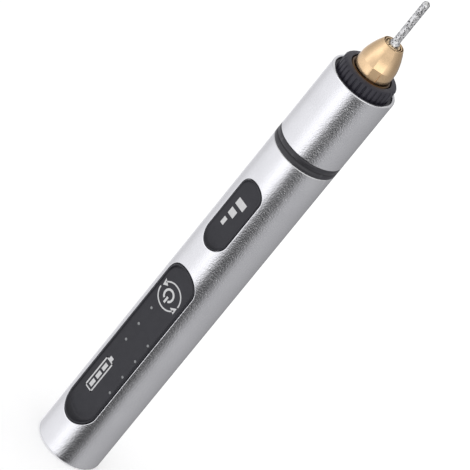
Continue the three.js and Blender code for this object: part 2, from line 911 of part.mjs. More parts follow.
function makeRotorCore() {
  let core = tube(shaftRadius + seatGap, rotorHubRadius, rotorStart, rotorEnd, smallSides);
  const faces = tube(rotorRadius - rotorFaceThickness, rotorRadius, rotorStart, rotorEnd);
  let cut = faces;
  for (let i = 0; i < rotorPoles; i++) {
    const angle = (i * 360) / rotorPoles;
    const neck = block(
      [rotorHubRadius - rotorFaceThickness / 2, rotorRadius - rotorFaceThickness / 2],
      [-rotorNeckWidth / 2, rotorNeckWidth / 2],
      [rotorStart, rotorEnd],
    );
    core = core.add(neck.rotate([0, 0, angle]));
    const slot = block(
      [rotorHubRadius, rotorRadius + cutOverrun],
      [-rotorSlotWidth / 2, rotorSlotWidth / 2],
      [rotorStart - cutOverrun, rotorEnd + cutOverrun],
    );
    cut = cut.subtract(slot.rotate([0, 0, angle + 180 / rotorPoles]));
  }
  return core.add(cut);
}

// The winding: copper in the gaps between the poles, joined by the end turns
function makeWinding() {
  const inner = rotorHubRadius + seatGap;
  const start = rotorStart - windingEndLength;
  const end = rotorEnd + windingEndLength;
  let winding = tube(inner, windingRadius, start, rotorStart - seatGap, smallSides);
  winding = winding.add(tube(inner, windingRadius, rotorEnd + seatGap, end, smallSides));
  let bars = tube(inner, windingRadius, start, end, smallSides);
  for (let i = 0; i < rotorPoles; i++) {
    const neck = block(
      [0, rotorRadius],
      [-rotorNeckWidth / 2 - slideGap, rotorNeckWidth / 2 + slideGap],
      [rotorStart - seatGap, rotorEnd + seatGap],
    );
    bars = bars.subtract(neck.rotate([0, 0, (i * 360) / rotorPoles]));
  }
  return winding.add(bars);
}

function makeCommutator() {
  let commutator = tube(
    shaftRadius + seatGap,
    commutatorRadius,
    commutatorStart,
    commutatorStart + commutatorLength,
    smallSides,
  );
  for (let i = 0; i < rotorPoles; i++) {
    const slit = block(
      [commutatorRadius - commutatorSlitDepth, commutatorRadius + cutOverrun],
      [-commutatorSlitWidth / 2, commutatorSlitWidth / 2],
      [commutatorStart - cutOverrun, commutatorStart + commutatorLength + cutOverrun],
    );
    commutator = commutator.subtract(slit.rotate([0, 0, (i * 360) / rotorPoles]));
  }
  return commutator;
}

// Collar: a stepped tube that joins barrel and sleeve, with a bulkhead that the motor is screwed to
const collarBulkheadEnd = collarStart + collarBulkhead;

function makeCollar() {
  const end = sleeveStart + collarSleeveReach;
  const bossRoom = motorBossRadius + slideGap;
  const screwRoom = motorScrewRadius + slideGap;
  let collar = turned([
    [bossRoom, collarStart],
    [collarRadius, collarStart],
    [collarRadius, sleeveStart + slideGap],
    [sleeveBore - slideGap, sleeveStart + slideGap],
    [sleeveBore - slideGap, end],
    [collarBore, end],
    [collarBore, collarBulkheadEnd],
    [bossRoom, collarBulkheadEnd],
  ]);
  for (const side of bothSides) {
    const hole = disc(screwRoom, collarStart - cutOverrun, collarBulkheadEnd + cutOverrun, smallSides);
    collar = collar.subtract(hole.translate([0, side * motorScrewSide, 0]));
  }
  return collar;
}

// A motor screw, with the seat of its head at height zero
const motorScrewSeat = collarBulkheadEnd + seatGap;

function makeMotorScrew() {
  const shankEnd = motorEnd - motorScrewGrip - motorScrewSeat;
  const screw = turned(
    [
      [0, shankEnd],
      [motorScrewRadius, shankEnd],
      [motorScrewRadius, 0],
      [motorScrewHeadRadius, 0],
      [motorScrewHeadRadius, motorScrewHeadHeight],
      [0, motorScrewHeadHeight],
    ],
    smallSides,
  );
  return screw.subtract(crossCut(motorScrewHeadHeight, -1));
}

// Coupling: the motor shaft is pressed into one end and the spindle's stub into the other
const couplingEnd = couplingStart + couplingLength;
const shaftEnd = motorEnd + shaftFrontReach;
const stubStart = shaftEnd + stubGap;

function makeCoupling() {
  return turned(
    [
      [shaftRadius + seatGap, couplingStart],
      [couplingRadius, couplingStart],
      [couplingRadius, couplingEnd],
      [stubRadius + seatGap, couplingEnd],
      [stubRadius + seatGap, shaftEnd + seatGap],
      [shaftRadius + seatGap, shaftEnd + seatGap],
    ],
    smallSides,
  );
}

// Bearings, from their rear face: outer race in the block, inner race on the spindle, caged balls
const rearBearingStart = blockStart + blockLip;
const frontBearingStart = rearBearingStart + bearingSpacing;
const frontBearingEnd = frontBearingStart + bearingWidth;
const raceThickness = (bearingRadius - bearingBore) * raceShare;
const ballRadius = (bearingRadius - bearingBore) / 2 - raceThickness - ballGap;

function makeOuterRace() {
  return tube(bearingRadius - raceThickness, bearingRadius, 0, bearingWidth);
}

function makeInnerRace() {
  return tube(bearingBore + seatGap, bearingBore + raceThickness, 0, bearingWidth);
}

function makeCage() {
  const pitch = (bearingRadius + bearingBore) / 2;
  const middle = bearingWidth / 2;
  let cage = tube(
    pitch - cageThickness / 2,
    pitch + cageThickness / 2,
    middle - cageHeight / 2,
    middle + cageHeight / 2,
    ballCount * 2,
  );
  for (let i = 0; i < ballCount; i++) {
    const angle = (i * 2 * Math.PI) / ballCount;
    const ball = new THREE.IcosahedronGeometry(ballRadius);
    ball.translate(pitch * Math.cos(angle), pitch * Math.sin(angle), middle);
    cage = cage.add(solidFrom(ball));
  }
  return cage;
}

function makeBearingBlock() {
  const outer = sleeveBore - slideGap;
  const seat = bearingRadius + seatGap;
  const lip = bearingRadius - blockLipInset;
  return turned([
    [lip, blockStart],
    [outer, blockStart],
    [outer, frontBearingEnd + seatGap],
    [seat, frontBearingEnd + seatGap],
    [seat, frontBearingStart],
    [lip, frontBearingStart - seatGap],
    [lip, rearBearingStart + bearingWidth + seatGap],
    [seat, rearBearingStart + bearingWidth + seatGap],
    [seat, rearBearingStart - seatGap],
    [lip, rearBearingStart - seatGap],
  ]);
}

// Spindle: stub, bearing seats with a shoulder between, neck, thread and a bore for shank and collet
function makeSpindle() {
  const colletBore = colletRadius + seatGap;
  const shankBore = shankRadius + slideGap;
  const colletFloor = nutEnd - colletRecess - colletLength - slideGap;
  const shankFloor = nutEnd + bitShankBeyondNut - bitInsert - looseGap;
  return turned([
    [0, stubStart],
    [stubRadius, stubStart],
    [stubRadius, rearBearingStart - looseGap],
    [bearingBore, rearBearingStart - looseGap],
    [bearingBore, rearBearingStart + bearingWidth],
    [spindleShoulder, rearBearingStart + bearingWidth],
    [spindleShoulder, frontBearingStart],
    [bearingBore, frontBearingStart],
    [bearingBore, frontBearingEnd + looseGap],
    [spindleNeckRadius, frontBearingEnd + looseGap],
    [spindleNeckRadius, threadStart],
    [threadRadius, threadStart],
    [threadRadius, threadEnd],
    [colletBore, threadEnd],
    [colletBore, colletFloor],
    [shankBore, colletFloor],
    [shankBore, shankFloor],
    [0, shankFloor],
  ]);
}

// Nose ring: spigot and flange in the sleeve, a ribbed grip in front, and a recess round the nut
function makeNoseRing() {
  const flangeEnd = sleeveEnd - noseFlangeRecess;
  const flangeStart = flangeEnd - noseFlangeThickness;
  const spigotStart = frontBearingEnd + slideGap;
  const running = spindleNeckRadius + looseGap;
  const core = noseRadius - noseRibDepth - slideGap;
  const recessRadius = nutLipRadius + looseGap;
  const recessFloor = noseEnd - noseRecessDepth;
  const joined = recessFloor - slideGap;
  const body = turned(
    [
      [running, spigotStart],
      [sleeveBore - slideGap, spigotStart],
      [sleeveBore - slideGap, flangeStart],
      [mouthRadius - slideGap, flangeStart],
      [mouthRadius - slideGap, flangeEnd],
      [core, flangeEnd],
      [core, joined],
      [running, joined],
    ],
    nutSides,
  );
  const grip = turned(
    [
      [core - noseRibDepth, flangeEnd - slideGap],
      [noseRadius, flangeEnd - slideGap],
      [noseRadius, noseEnd - noseChamfer],
      [noseRadius - noseChamfer, noseEnd],
      [recessRadius, noseEnd],
      [recessRadius, recessFloor],
      [running, recessFloor],
      [running, joined],
      [core - noseRibDepth, joined],
    ],
    nutSides,
  );
  return body.add(grip.intersect(ribbedBar(flangeEnd - slideGap, noseEnd + cutOverrun)));
}

function ribbedBar(from, to) {
  const pitch = (2 * Math.PI) / noseRibs;
  const shape = new THREE.Shape();
  const crest = noseRadius + slideGap;
  const valley = noseRadius - noseRibDepth;
  for (let i = 0; i < noseRibs; i++) {
    const middle = i * pitch;
    const half = (noseRibShare * pitch) / 2;
    const corners = [
      [crest, middle - half],
      [crest, middle + half],
      [valley, middle + pitch / 2],
    ];
    corners.forEach(([radius, angle], k) => {
      const x = radius * Math.cos(angle);
      const y = radius * Math.sin(angle);
      if (i === 0 && k === 0) shape.moveTo(x, y);
      else shape.lineTo(x, y);
    });
  }
  shape.closePath();
  return extrudedAlongZ(shape, from, to);
}

// Collet nut: a lip, a slight cone and an ogive, with two facets, a thread bore and an inner cone
function nutRadius(share) {
  return nutBaseRadius - (nutBaseRadius - nutFrontRadius) * share ** nutCurve;
}

// What the facets leave of the nut: they are flat across, and follow its curve along the pen
function withinFacets(curve) {
  const wide = nutBaseRadius + 2 * cutOverrun;
  const side = curve.map(([r, z]) => [Math.sqrt(r ** 2 - (nutFacetWidth / 2) ** 2), z]);
  const half = [
    [wide, nutStart - cutOverrun],
    [wide, side[0][1]],
    ...side,
    [side[side.length - 1][0], nutEnd + cutOverrun],
  ];
  const shape = new THREE.Shape();
  const mirrored = half.map(([x, z]) => [-x, z]).reverse();
  [...half, ...mirrored].forEach(([x, z], i) => {
    if (i === 0) shape.moveTo(x, z);
    else shape.lineTo(x, z);
  });
  shape.closePath();
  const geometry = new THREE.ExtrudeGeometry(shape, { depth: 2 * wide, bevelEnabled: false });
  geometry.translate(0, 0, -wide);
  geometry.rotateX(Math.PI / 2);
  return solidFrom(geometry);
}

function makeNut() {
  const lipTop = nutStart + nutLipHeight;
  const foot = lipTop + nutGrooveHeight / 2;
  const curve = [[nutBaseRadius - nutGrooveDepth, foot]];
  const coneShare = nutFlatHeight / (nutReach - nutFaceChamfer);
  for (let i = 0; i <= nutSteps; i++) {
    const share = coneShare + (1 - coneShare) * (i / nutSteps);
    curve.push([nutRadius(share), noseEnd + share * (nutReach - nutFaceChamfer)]);
  }
  const thread = threadRadius + threadGap;
  let nut = turned(
    [
      [thread, nutStart],
      [nutLipRadius, nutStart],
      [nutLipRadius, lipTop - nutGrooveHeight / 2],
      [nutBaseRadius - nutGrooveDepth, lipTop],
      ...curve,
      [nutFrontRadius - nutFaceChamfer, nutEnd],
      [nutMouthRadius, nutEnd],
      [nutMouthRadius, nutConeEnd],
      [colletConeRadius + slideGap, nutConeStart],
      [thread, nutConeStart],
    ],
    nutSides,
  );
  nut = nut.intersect(withinFacets(curve).rotate([0, 0, nutFacetAngle]));
  for (const side of bothSides) {
    const flat = block(
      inOrder(side * nutFlatDistance, side * (nutBaseRadius + cutOverrun)),
      [-nutFacetWidth / 2, nutFacetWidth / 2],
      [foot, noseEnd + nutFlatHeight],
    );
    nut = nut.subtract(flat.rotate([0, 0, nutFacetAngle]));
  }
  return nut;
}

// Collet: a slotted sleeve whose cone the nut squeezes on the shank
function makeCollet() {
  const front = nutEnd - colletRecess;
  const rear = front - colletLength;
  const coneStart = nutConeStart + slideGap;
  const tip = nutMouthRadius - slideGap;
  let collet = turned([
    [shankRadius + seatGap, rear],
    [colletRadius, rear],
    [colletRadius, coneStart],
    [colletConeRadius, coneStart],
    [tip, nutConeEnd],
    [tip, front],
    [shankRadius + seatGap, front],
  ]);
  const wide = [-colletConeRadius - cutOverrun, colletConeRadius + cutOverrun];
  const narrow = [-colletSlotWidth / 2, colletSlotWidth / 2];
  const deep = [front - colletSlotLength, front + cutOverrun];
  collet = collet.subtract(block(wide, narrow, deep));
  return collet.subtract(block(narrow, wide, deep));
}

// Engraving bit: a shank that tapers to the grit rod with its round end
function makeBit() {
  const shankEnd = nutEnd + bitShankBeyondNut;
  const tip = [];
  for (let i = 0; i <= tipSteps; i++) {
    const angle = (i / tipSteps) * (Math.PI / 2);
    tip.push([bitRadius * Math.cos(angle), bitEnd - bitRadius * (1 - Math.sin(angle))]);
  }
  tip[tipSteps][0] = 0;
  return turned(
    [
      [0, shankEnd - bitInsert],
      [shankRadius, shankEnd - bitInsert],
      [shankRadius, shankEnd],
      [bitRadius, shankEnd + bitTaper],
      ...tip,
    ],
    smallSides,
  );
}

// Leads: round wires along smooth curves inside the chassis
function makeLead(points) {
  const stops = points.map((point) => new THREE.Vector3(...point));
  const path = new THREE.CatmullRomCurve3(stops, false, "centripetal");
  const section = new THREE.Shape();
  section.absarc(0, 0, leadRadius, 0, 2 * Math.PI, false);
  const geometry = new THREE.ExtrudeGeometry(section, {
    steps: leadSteps,
    curveSegments: leadArcSegments,
    extrudePath: path,
    bevelEnabled: false,
  });
  return solidFrom(geometry);
}

const leadDrop = boardSeat - leadRadius - looseGap;

// From the board's front end to the terminal blade
function motorLeadRoute(side) {
  const blade = side * (terminalSide - terminalThickness / 2 - leadRadius - seatGap);
  const from = boardEnd - leadLanding;
  const to = motorStart - endBellThickness - slideGap;
  const run = to - from;
  return [
    [(side * tabWidth) / 2, -leadDrop, from],
    [(side * tabWidth) / 2, -leadDrop, from + run * leadRouteShares[0]],
    [(side * tabWidth) / 4 + blade / 2, -leadDrop / 2, from + run * leadRouteShares[1]],
    [blade, 0, from + run * leadRouteShares[2]],
    [blade, 0, to],
  ];
}

// From the charging board, through its channel in the chassis, to the control board
function chargeLeadRoute(side) {
  const x = side * chargeLeadSide;
  const onBoard = chargeBoardTop - leadRadius - looseGap;
  const middle = chargeBoardEnd + leadBend;
  return [
    [x, onBoard, chargeBoardEnd - leadLanding],
    [x, onBoard, chargeBoardEnd],
    [x, (onBoard - leadDrop) / 2, middle],
    [x, -leadDrop, middle + leadBend],
    [x, -leadDrop, middle + leadBend + leadLanding],
  ];
}

// Shell, rear cap and charging socket
addNode("barrel", makeBarrel(), aluminium);
addNode("front_inlay", makeInlay(), panelBlack);
addNode("accent_ring", makeAccentRing(), ringBlack);
addNode("front_sleeve", makeSleeve(), aluminium);
addNode("nose_ring", makeNoseRing(), ringBlack);
addNode("rear_cap", makeRearCap(), ringBlack);
bothSides.forEach((side, i) => {
  const place = [side * capScrewSide, 0, capScrewSink];
  addNode("cap_screw_" + (i + 1), makeCapScrew(), steel, place);
});
addNode("charging_socket_shell", makeSocketShell(), steel, [0, 0, socketRecess]);
addNode("charging_socket_tongue", makeSocketTongue(), ringBlack, [0, 0, socketRecess]);
addNode("charging_board", makeChargeBoard(), boardGreen);

// Chassis, cell and control board
addNode("chassis", makeChassis(), innerPlastic);
addNode("battery_cell", makeCell(), cellWrap, [0, cellOffset, cellStart]);
addNode("battery_tab_rear", makeTab(), steel, [0, 0, cellStart - tabThickness]);
addNode("battery_tab_front", makeTab(), steel, [0, 0, cellEnd]);
addNode("control_board", makeControlBoard(), boardGreen);
addNode("switch_body", makeSwitchBody(), innerPlastic, [0, -boardFace, switchPlace]);
addNode("switch_button", makeSwitchButton(), steel, [0, -boardFace, switchPlace]);
for (const row of lightRows) {
  lightPlaces(row).forEach((z, i) => {
    addNode(row.name + "_lamp_" + (i + 1), makeLamp(), ledWhite, [row.side, -boardFace, z]);
  });
}

// Power key with its light guides and its pin
addNode("power_key", makeKey(), panelBlack);
for (const row of lightRows) {
  addNode(row.name + "_light_guide", makeLightGuide(row), clearPlastic);
}
addNode("key_pin", crossPin(pinRadius, 2 * pinHalf, 0, 0), steel, [0, -pinDrop, pinPlace]);

// Motor
const motor = addGroup(motorStart);
const atMotor = [0, 0, 0];
addNode("motor_can", makeMotorCan(), steel, atMotor, motor);
addNode("motor_end_bell", makeEndBell(), innerPlastic, atMotor, motor);
addNode("motor_bush_rear", makeBush(), brass, [0, 0, -endBellThickness], motor);
addNode("motor_bush_front", makeBush(), brass, [0, 0, motorLength - motorCanWall], motor);
addNode("motor_shaft", makeMotorShaft(), steel, atMotor, motor);
addNode("rotor_core", makeRotorCore(), steel, atMotor, motor);
addNode("rotor_winding", makeWinding(), copper, atMotor, motor);
addNode("commutator", makeCommutator(), copper, atMotor, motor);

// Left and right pieces: magnets, terminals and leads
["left", "right"].forEach((word, i) => {
  const side = bothSides[i];
  const leadColour = side < 0 ? leadBlack : leadRed;
  addNode("magnet_" + word, makeMagnet(side), magnetGrey, atMotor, motor);
  addNode("motor_terminal_" + word, makeTerminal(side), copper, atMotor, motor);
  addNode("motor_lead_" + word, makeLead(motorLeadRoute(side)), leadColour);
  addNode("charging_lead_" + word, makeLead(chargeLeadRoute(side)), leadColour);
});

// Collar, coupling and bearings
addNode("motor_collar", makeCollar(), innerPlastic);
bothSides.forEach((side, i) => {
  const place = [0, side * motorScrewSide, motorScrewSeat];
  addNode("motor_screw_" + (i + 1), makeMotorScrew(), steel, place);
});
addNode("shaft_coupling", makeCoupling(), brass);
addNode("bearing_block", makeBearingBlock(), innerPlastic);
for (const [word, height] of [["rear", rearBearingStart], ["front", frontBearingStart]]) {
  const bearing = addGroup(height);
  addNode(word + "_bearing_outer", makeOuterRace(), steel, [0, 0, 0], bearing);
  addNode(word + "_bearing_inner", makeInnerRace(), steel, [0, 0, 0], bearing);
  addNode(word + "_bearing_cage", makeCage(), brass, [0, 0, 0], bearing);
}

// Spindle and what it drives
addNode("spindle", makeSpindle(), steel);
addNode("collet", makeCollet(), brass);
addNode("collet_nut", makeNut(), brass);
addNode("engraving_bit", makeBit(), gritSteel);

export default pen;
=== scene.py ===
import json
import math

import bmesh
import bpy
from mathutils import Matrix, Vector, noise
from mathutils.geometry import delaunay_2d_cdt

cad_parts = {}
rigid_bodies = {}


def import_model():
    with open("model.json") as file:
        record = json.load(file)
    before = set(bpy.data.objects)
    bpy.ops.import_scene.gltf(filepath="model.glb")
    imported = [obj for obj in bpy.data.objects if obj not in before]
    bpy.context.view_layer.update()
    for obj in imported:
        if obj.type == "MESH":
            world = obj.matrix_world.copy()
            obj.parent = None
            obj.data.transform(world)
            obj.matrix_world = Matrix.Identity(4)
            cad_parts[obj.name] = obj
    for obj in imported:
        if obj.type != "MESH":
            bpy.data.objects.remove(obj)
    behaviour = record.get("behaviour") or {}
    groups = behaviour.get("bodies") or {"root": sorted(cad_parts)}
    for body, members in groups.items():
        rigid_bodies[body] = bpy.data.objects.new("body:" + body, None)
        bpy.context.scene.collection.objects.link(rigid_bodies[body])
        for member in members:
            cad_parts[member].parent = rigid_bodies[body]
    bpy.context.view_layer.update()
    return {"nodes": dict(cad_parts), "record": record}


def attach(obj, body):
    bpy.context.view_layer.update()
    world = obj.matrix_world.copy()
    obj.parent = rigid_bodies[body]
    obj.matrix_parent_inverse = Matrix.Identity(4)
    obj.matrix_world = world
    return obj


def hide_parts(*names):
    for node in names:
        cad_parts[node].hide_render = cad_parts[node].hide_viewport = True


for leftover in list(bpy.data.objects):
    bpy.data.objects.remove(leftover)

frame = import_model()

scene = bpy.context.scene
scene.view_settings.view_transform = "Standard"

# Lengths in millimetres, as the solids have them. The pen's axis is Z and its panels face -Y.
MM = 0.001
RADIUS = 10.0
BORE = 7.8
REAR_ROUND = 1.0
EDGE = 0.3
CAP_RADIUS = 8.4
CAP_DEPTH = 1.5
CAP_CHAMFER = 0.12
CAP_GAP = 0.1
SOCKET_WIDTH = 8.94
SOCKET_HEIGHT = 3.26
SOCKET_GAP = 0.2
SCREW_SIDE = 6.2

# Heights of the ends of the outer pieces
BARREL_END = 115.6
SLEEVE_START = 118.9
SLEEVE_END = 143.1
NOSE_END = 146.75
NUT_START = 146.2
NUT_END = 156.9
BIT_END = 172.6

# Panels, with the distances of face and back from the axis
PANEL_BEVEL = 0.3
KEY = dict(start=11.4, length=59.0, width=11.9, gap=0.15, rim=0.5, face=8.0373, back=6.9373)
INLAY = dict(start=79.6, length=24.2, width=8.8, gap=0.1, rim=0.35, face=8.98, back=8.38)
LIGHT_RADIUS = 0.42
WELL_RADIUS = 0.47
STATUS_LIGHTS = [(-2.25, z) for z in (40.5, 46.75, 53.0)]
SPEED_LIGHTS = [(4.38, z) for z in (26.15, 32.4, 38.65, 44.9)]
MARK_SINK = 0.02
MARK_RISE = 0.018

# Rounded outer edges, as distances inward from the radius and along from the end
BARREL_EDGE = [(0.3, 0), (0.22, 0.05), (0.06, 0.21), (0, 0.3)]
RING_EDGE = [(0.3, 0), (0.12, 0.05), (0.03, 0.16), (0, 0.3)]
SLEEVE_EDGE = [(0.3, 0), (0.13, 0.05), (0.04, 0.16), (0, 0.3)]
# The crowned end of a light pin, as shares of its radius and of its crown
CROWN = [(0.94, 0.4), (0.6, 0.08)]

# Fineness of the meshes
MERGED_PER_MM = 1e4
CLOSE = 1e-6
ON_ROUND = 1e-3
SHELL_SIDES = 144
PIN_SIDES = 28
SCREW_SIDES = 48
# Degrees between faces above which an edge is sharp
SHARP = 32
CUT_SHARP = 30


# Meshes
class Mesh:
    """Faces over shared points, in millimetres"""

    def __init__(self):
        self.points = []
        self.faces = []
        self.known = {}

    def point(self, place):
        key = tuple(round(c * MERGED_PER_MM) for c in place)
        if key not in self.known:
            self.known[key] = len(self.points)
            self.points.append(tuple(place))
        return self.known[key]

    def face(self, corners):
        ids = [self.point(corner) for corner in corners]
        kept = [a for a, b in zip(ids, ids[1:] + ids[:1]) if a != b]
        if len(kept) > 2:
            self.faces.append(kept)

    def strip(self, one, other):
        for i in range(len(one)):
            j = (i + 1) % len(one)
            self.face([one[i], one[j], other[j], other[i]])

    def skin(self, rings):
        """The surface from ring to ring"""
        for one, other in zip(rings, rings[1:]):
            self.strip(one, other)

    def solid(self, rings):
        """The surface from ring to ring with both ends closed"""
        self.skin(rings)
        self.face(rings[0])
        self.face(rings[-1])


def turns(count):
    """Equal steps round a full circle"""
    return [2 * math.pi * i / count for i in range(count)]


def eased(share):
    """A share from 0 to 1 that starts and ends softly"""
    return share * share * (3 - 2 * share)


def circle(radius, height, count):
    return [(radius * math.sin(a), -radius * math.cos(a), height) for a in turns(count)]


def circles(outline, count):
    return [circle(r, z, count) for r, z in outline]


def lathe(outline, count=192):
    """A hollow solid of revolution about Z from a closed outline of radii and heights"""
    mesh = Mesh()
    rings = circles(outline, count)
    mesh.skin([*rings, rings[0]])
    return mesh


def filled(outline, count):
    """A solid of revolution whose outline starts and ends on the axis"""
    mesh = Mesh()
    mesh.solid(circles(outline, count))
    return mesh


def outer_edge(offsets, end, way):
    """A rounded edge from its end face inwards, or with way -1 from the skin to its end face"""
    return [(RADIUS - inward, end + way * along) for inward, along in offsets][::way]


def block(mesh, xs, ys, zs, edge=0.05):
    """A box with small chamfers on the edges along Z"""
    (left, right), (front, back) = xs, ys
    outline = [
        (left + edge, front), (right - edge, front), (right, front + edge), (right, back - edge),
        (right - edge, back), (left + edge, back), (left, back - edge), (left, front + edge),
    ]
    mesh.solid([[(x, y, z) for x, y in outline] for z in zs])
    return mesh


def slit(xs, ys, zs):
    return block(Mesh(), xs, ys, zs, 0.02)


def crossed(reach, half, zs):
    """Two slits that cross on the axis"""
    return [slit((-reach, reach), (-half, half), zs), slit((-half, half), (-reach, reach), zs)]


def shifted(mesh, x):
    moved = Mesh()
    for face in mesh.faces:
        corners = [mesh.points[i] for i in face]
        moved.face([(corner[0] + x, corner[1], corner[2]) for corner in corners])
    return moved


def pin(mesh, radius, near, far, x, z, crown=0.0):
    """A round pin towards -Y, between two distances from the axis, with a slightly crowned end"""
    def ring(r, distance):
        return [(x + r * math.cos(a), -distance, z + r * math.sin(a)) for a in turns(PIN_SIDES)]

    rings = [ring(radius, near), ring(radius, far - crown)]
    if crown:
        rings += [ring(radius * share, far - crown * drop) for share, drop in CROWN]
    mesh.solid(rings)


def capsule(width, height):
    """A flat outline with round sides in X and Y"""
    steps = 20
    radius = height / 2
    reach = width / 2 - radius
    points = []
    for side, first in ((1, -math.pi / 2), (-1, math.pi / 2)):
        for i in range(steps + 1):
            angle = first + math.pi * i / steps
            points.append((side * reach + radius * math.cos(angle), radius * math.sin(angle)))
    return points


def tube_along(outlines):
    """A solid through flat outlines at their heights"""
    mesh = Mesh()
    mesh.solid([[(x, y, z) for x, y in outline] for outline, z in outlines])
    return mesh


# Panels and the barrel's openings for them
def slot_ends(panel):
    """Radius of a slot's round ends, and the heights of their centres"""
    radius = panel["width"] / 2
    return radius, panel["start"] + radius, panel["start"] + panel["length"] - radius


def stadium(panel, inset):
    """Points round a slot outline in X and Z, drawn in by an inset; equal counts at every inset"""
    arc, run = 44, 20
    radius, rear, front = slot_ends(panel)
    radius -= inset
    points = []
    for turn, centre, other, side in ((0, front, rear, -radius), (math.pi, rear, front, radius)):
        for i in range(arc):
            angle = turn + math.pi * i / arc
            points.append((radius * math.cos(angle), centre + radius * math.sin(angle)))
        points += [(side, centre + (other - centre) * i / run) for i in range(run)]
    return points


def in_stadium(panel, inset, x, z):
    radius, rear, front = slot_ends(panel)
    return math.hypot(x, z - min(max(z, rear), front)) < radius - inset


def spread(mesh, loops, extra, place, keep):
    """Triangles between flat loops, each corner put in space by place, each tested by keep"""
    flat, edges = [], []
    for loop in loops:
        first = len(flat)
        flat += loop
        edges += [(first + i, first + (i + 1) % len(loop)) for i in range(len(loop))]
    flat += extra
    made = delaunay_2d_cdt([Vector(p) for p in flat], edges, [], 0, CLOSE)
    triangles, origins = made[2:4]
    source = [flat[ids[0]] for ids in origins]
    for triangle in triangles:
        corners = [source[i] for i in triangle]
        middle = [sum(c[k] for c in corners) / 3 for k in (0, 1)]
        if keep(*middle):
            mesh.face([place(*c) for c in corners])


def on_round(radius, drop=0.0):
    return lambda x: math.sqrt(radius * radius - x * x) - drop


def panel_ring(panel, inset, distance, draw=0.0):
    """A slot outline at a distance from the axis, its round ends drawn towards the middle"""
    reach = distance if callable(distance) else (lambda x: distance)
    radius, rear, front = slot_ends(panel)
    return [
        (x, -reach(x), z - draw * (max(z - front, 0) - max(rear - z, 0)) / radius)
        for x, z in stadium(panel, inset)
    ]


def shell_skin(mesh, radius, low, high, openings):
    """A cylinder's skin with slot openings, open at both ends"""
    levels, room = 40, 0.3
    columns = [-math.pi + 2 * math.pi * i / SHELL_SIDES for i in range(SHELL_SIDES + 1)]
    rows = [low + (high - low) * i / levels for i in range(levels + 1)]
    loops = [
        [(radius * math.asin(x / radius), z) for x, z in stadium(panel, inset)]
        for panel, inset in openings
    ]

    def clear(angle, z, margin):
        if abs(angle) > math.pi / 2:
            return True
        x = radius * math.sin(angle)
        return not any(in_stadium(panel, inset - margin, x, z) for panel, inset in openings)

    extra = [(radius * a, z) for a in columns for z in rows if clear(a, z, room)]

    def place(s, z):
        angle = s / radius
        if abs(abs(angle) - math.pi) < CLOSE:
            angle = math.pi
        return (radius * math.sin(angle), -radius * math.cos(angle), z)

    spread(mesh, loops, extra, place, lambda s, z: clear(s / radius, z, 0))


# Pieces of the scene
def shade(data, sharp):
    """Smooth faces with outward normals, and sharp edges where they meet at more than an angle"""
    work = bmesh.new()
    work.from_mesh(data)
    bmesh.ops.recalc_face_normals(work, faces=work.faces)
    work.normal_update()
    for edge in work.edges:
        soft = len(edge.link_faces) == 2 and edge.calc_face_angle(0.0) < math.radians(sharp)
        edge.smooth = soft
    for face in work.faces:
        face.smooth = True
    work.to_mesh(data)
    work.free()


def straighten(data, radii):
    """Exact normals on faces that lie on one of these cylinders about Z, outward or inward"""
    normals = [Vector(corner.vector) for corner in data.corner_normals]
    reach = [math.hypot(v.co.x, v.co.y) for v in data.vertices]
    for polygon in data.polygons:
        if abs(polygon.normal.z) >= 0.5:
            continue
        for radius, way in radii:
            if any(abs(reach[v] - radius) >= ON_ROUND for v in polygon.vertices):
                continue
            for loop in polygon.loop_indices:
                at = data.vertices[data.loops[loop].vertex_index].co
                normals[loop] = Vector((at.x, at.y, 0)).normalized() * way
    data.normals_split_custom_set(normals)


def shaded_object(name, mesh, sharp):
    data = bpy.data.meshes.new(name)
    data.from_pydata(mesh.points, [], mesh.faces)
    made = bpy.data.objects.new(name, data)
    scene.collection.objects.link(made)
    shade(data, sharp)
    return made


def carve(obj, cutters):
    for cutter in cutters:
        cut = obj.modifiers.new("cut", "BOOLEAN")
        cut.operation = "DIFFERENCE"
        cut.solver = "EXACT"
        cut.object = cutter
    graph = bpy.context.evaluated_depsgraph_get()
    result = bpy.data.meshes.new_from_object(obj.evaluated_get(graph))
    obj.modifiers.clear()
    obj.data = result
    for cutter in cutters:
        bpy.data.objects.remove(cutter)


def piece(name, mesh, body, slot, nodes=(), cuts=(), sharp=SHARP, radii=(), look=None):
    """One piece of the pen in metres, in the look of its slot unless it has one of its own"""
    obj = shaded_object(name, mesh, sharp)
    if cuts:
        carve(obj, [shaded_object("tool", cut, CUT_SHARP) for cut in cuts])
        shade(obj.data, sharp)
    if radii:
        straighten(obj.data, radii)
    obj.data.transform(Matrix.Scale(MM, 4))
    obj.data.materials.clear()
    obj.data.materials.append(look or LOOKS[slot])
    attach(obj, body)
    if nodes:
        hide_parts(*nodes)
    return obj


# Shader nodes
def wire(tree, value, socket):
    """Links an output to a socket, or gives the socket a number or a colour"""
    if isinstance(value, bpy.types.NodeSocket):
        tree.links.new(value, socket)
    else:
        socket.default_value = (*value, 1.0) if isinstance(value, tuple) else value


def maths(tree, operation, *values):
    node = tree.nodes.new("ShaderNodeMath")
    node.operation = operation
    for socket, value in zip(node.inputs, values):
        wire(tree, value, socket)
    return node.outputs[0]


def mixed(tree, factor, one, other):
    node = tree.nodes.new("ShaderNodeMix")
    node.data_type = "RGBA"
    for index, value in ((0, factor), (6, one), (7, other)):
        wire(tree, value, node.inputs[index])
    return node.outputs[2]


def ranged(tree, value, span, low=0.0, high=1.0):
    """A value that runs over a span, drawn to another range and kept inside it"""
    node = tree.nodes.new("ShaderNodeMapRange")
    node.inputs["From Min"].default_value = span[0]
    node.inputs["From Max"].default_value = span[1]
    node.inputs["To Min"].default_value = low
    node.inputs["To Max"].default_value = high
    tree.links.new(value, node.inputs["Value"])
    return node.outputs["Result"]


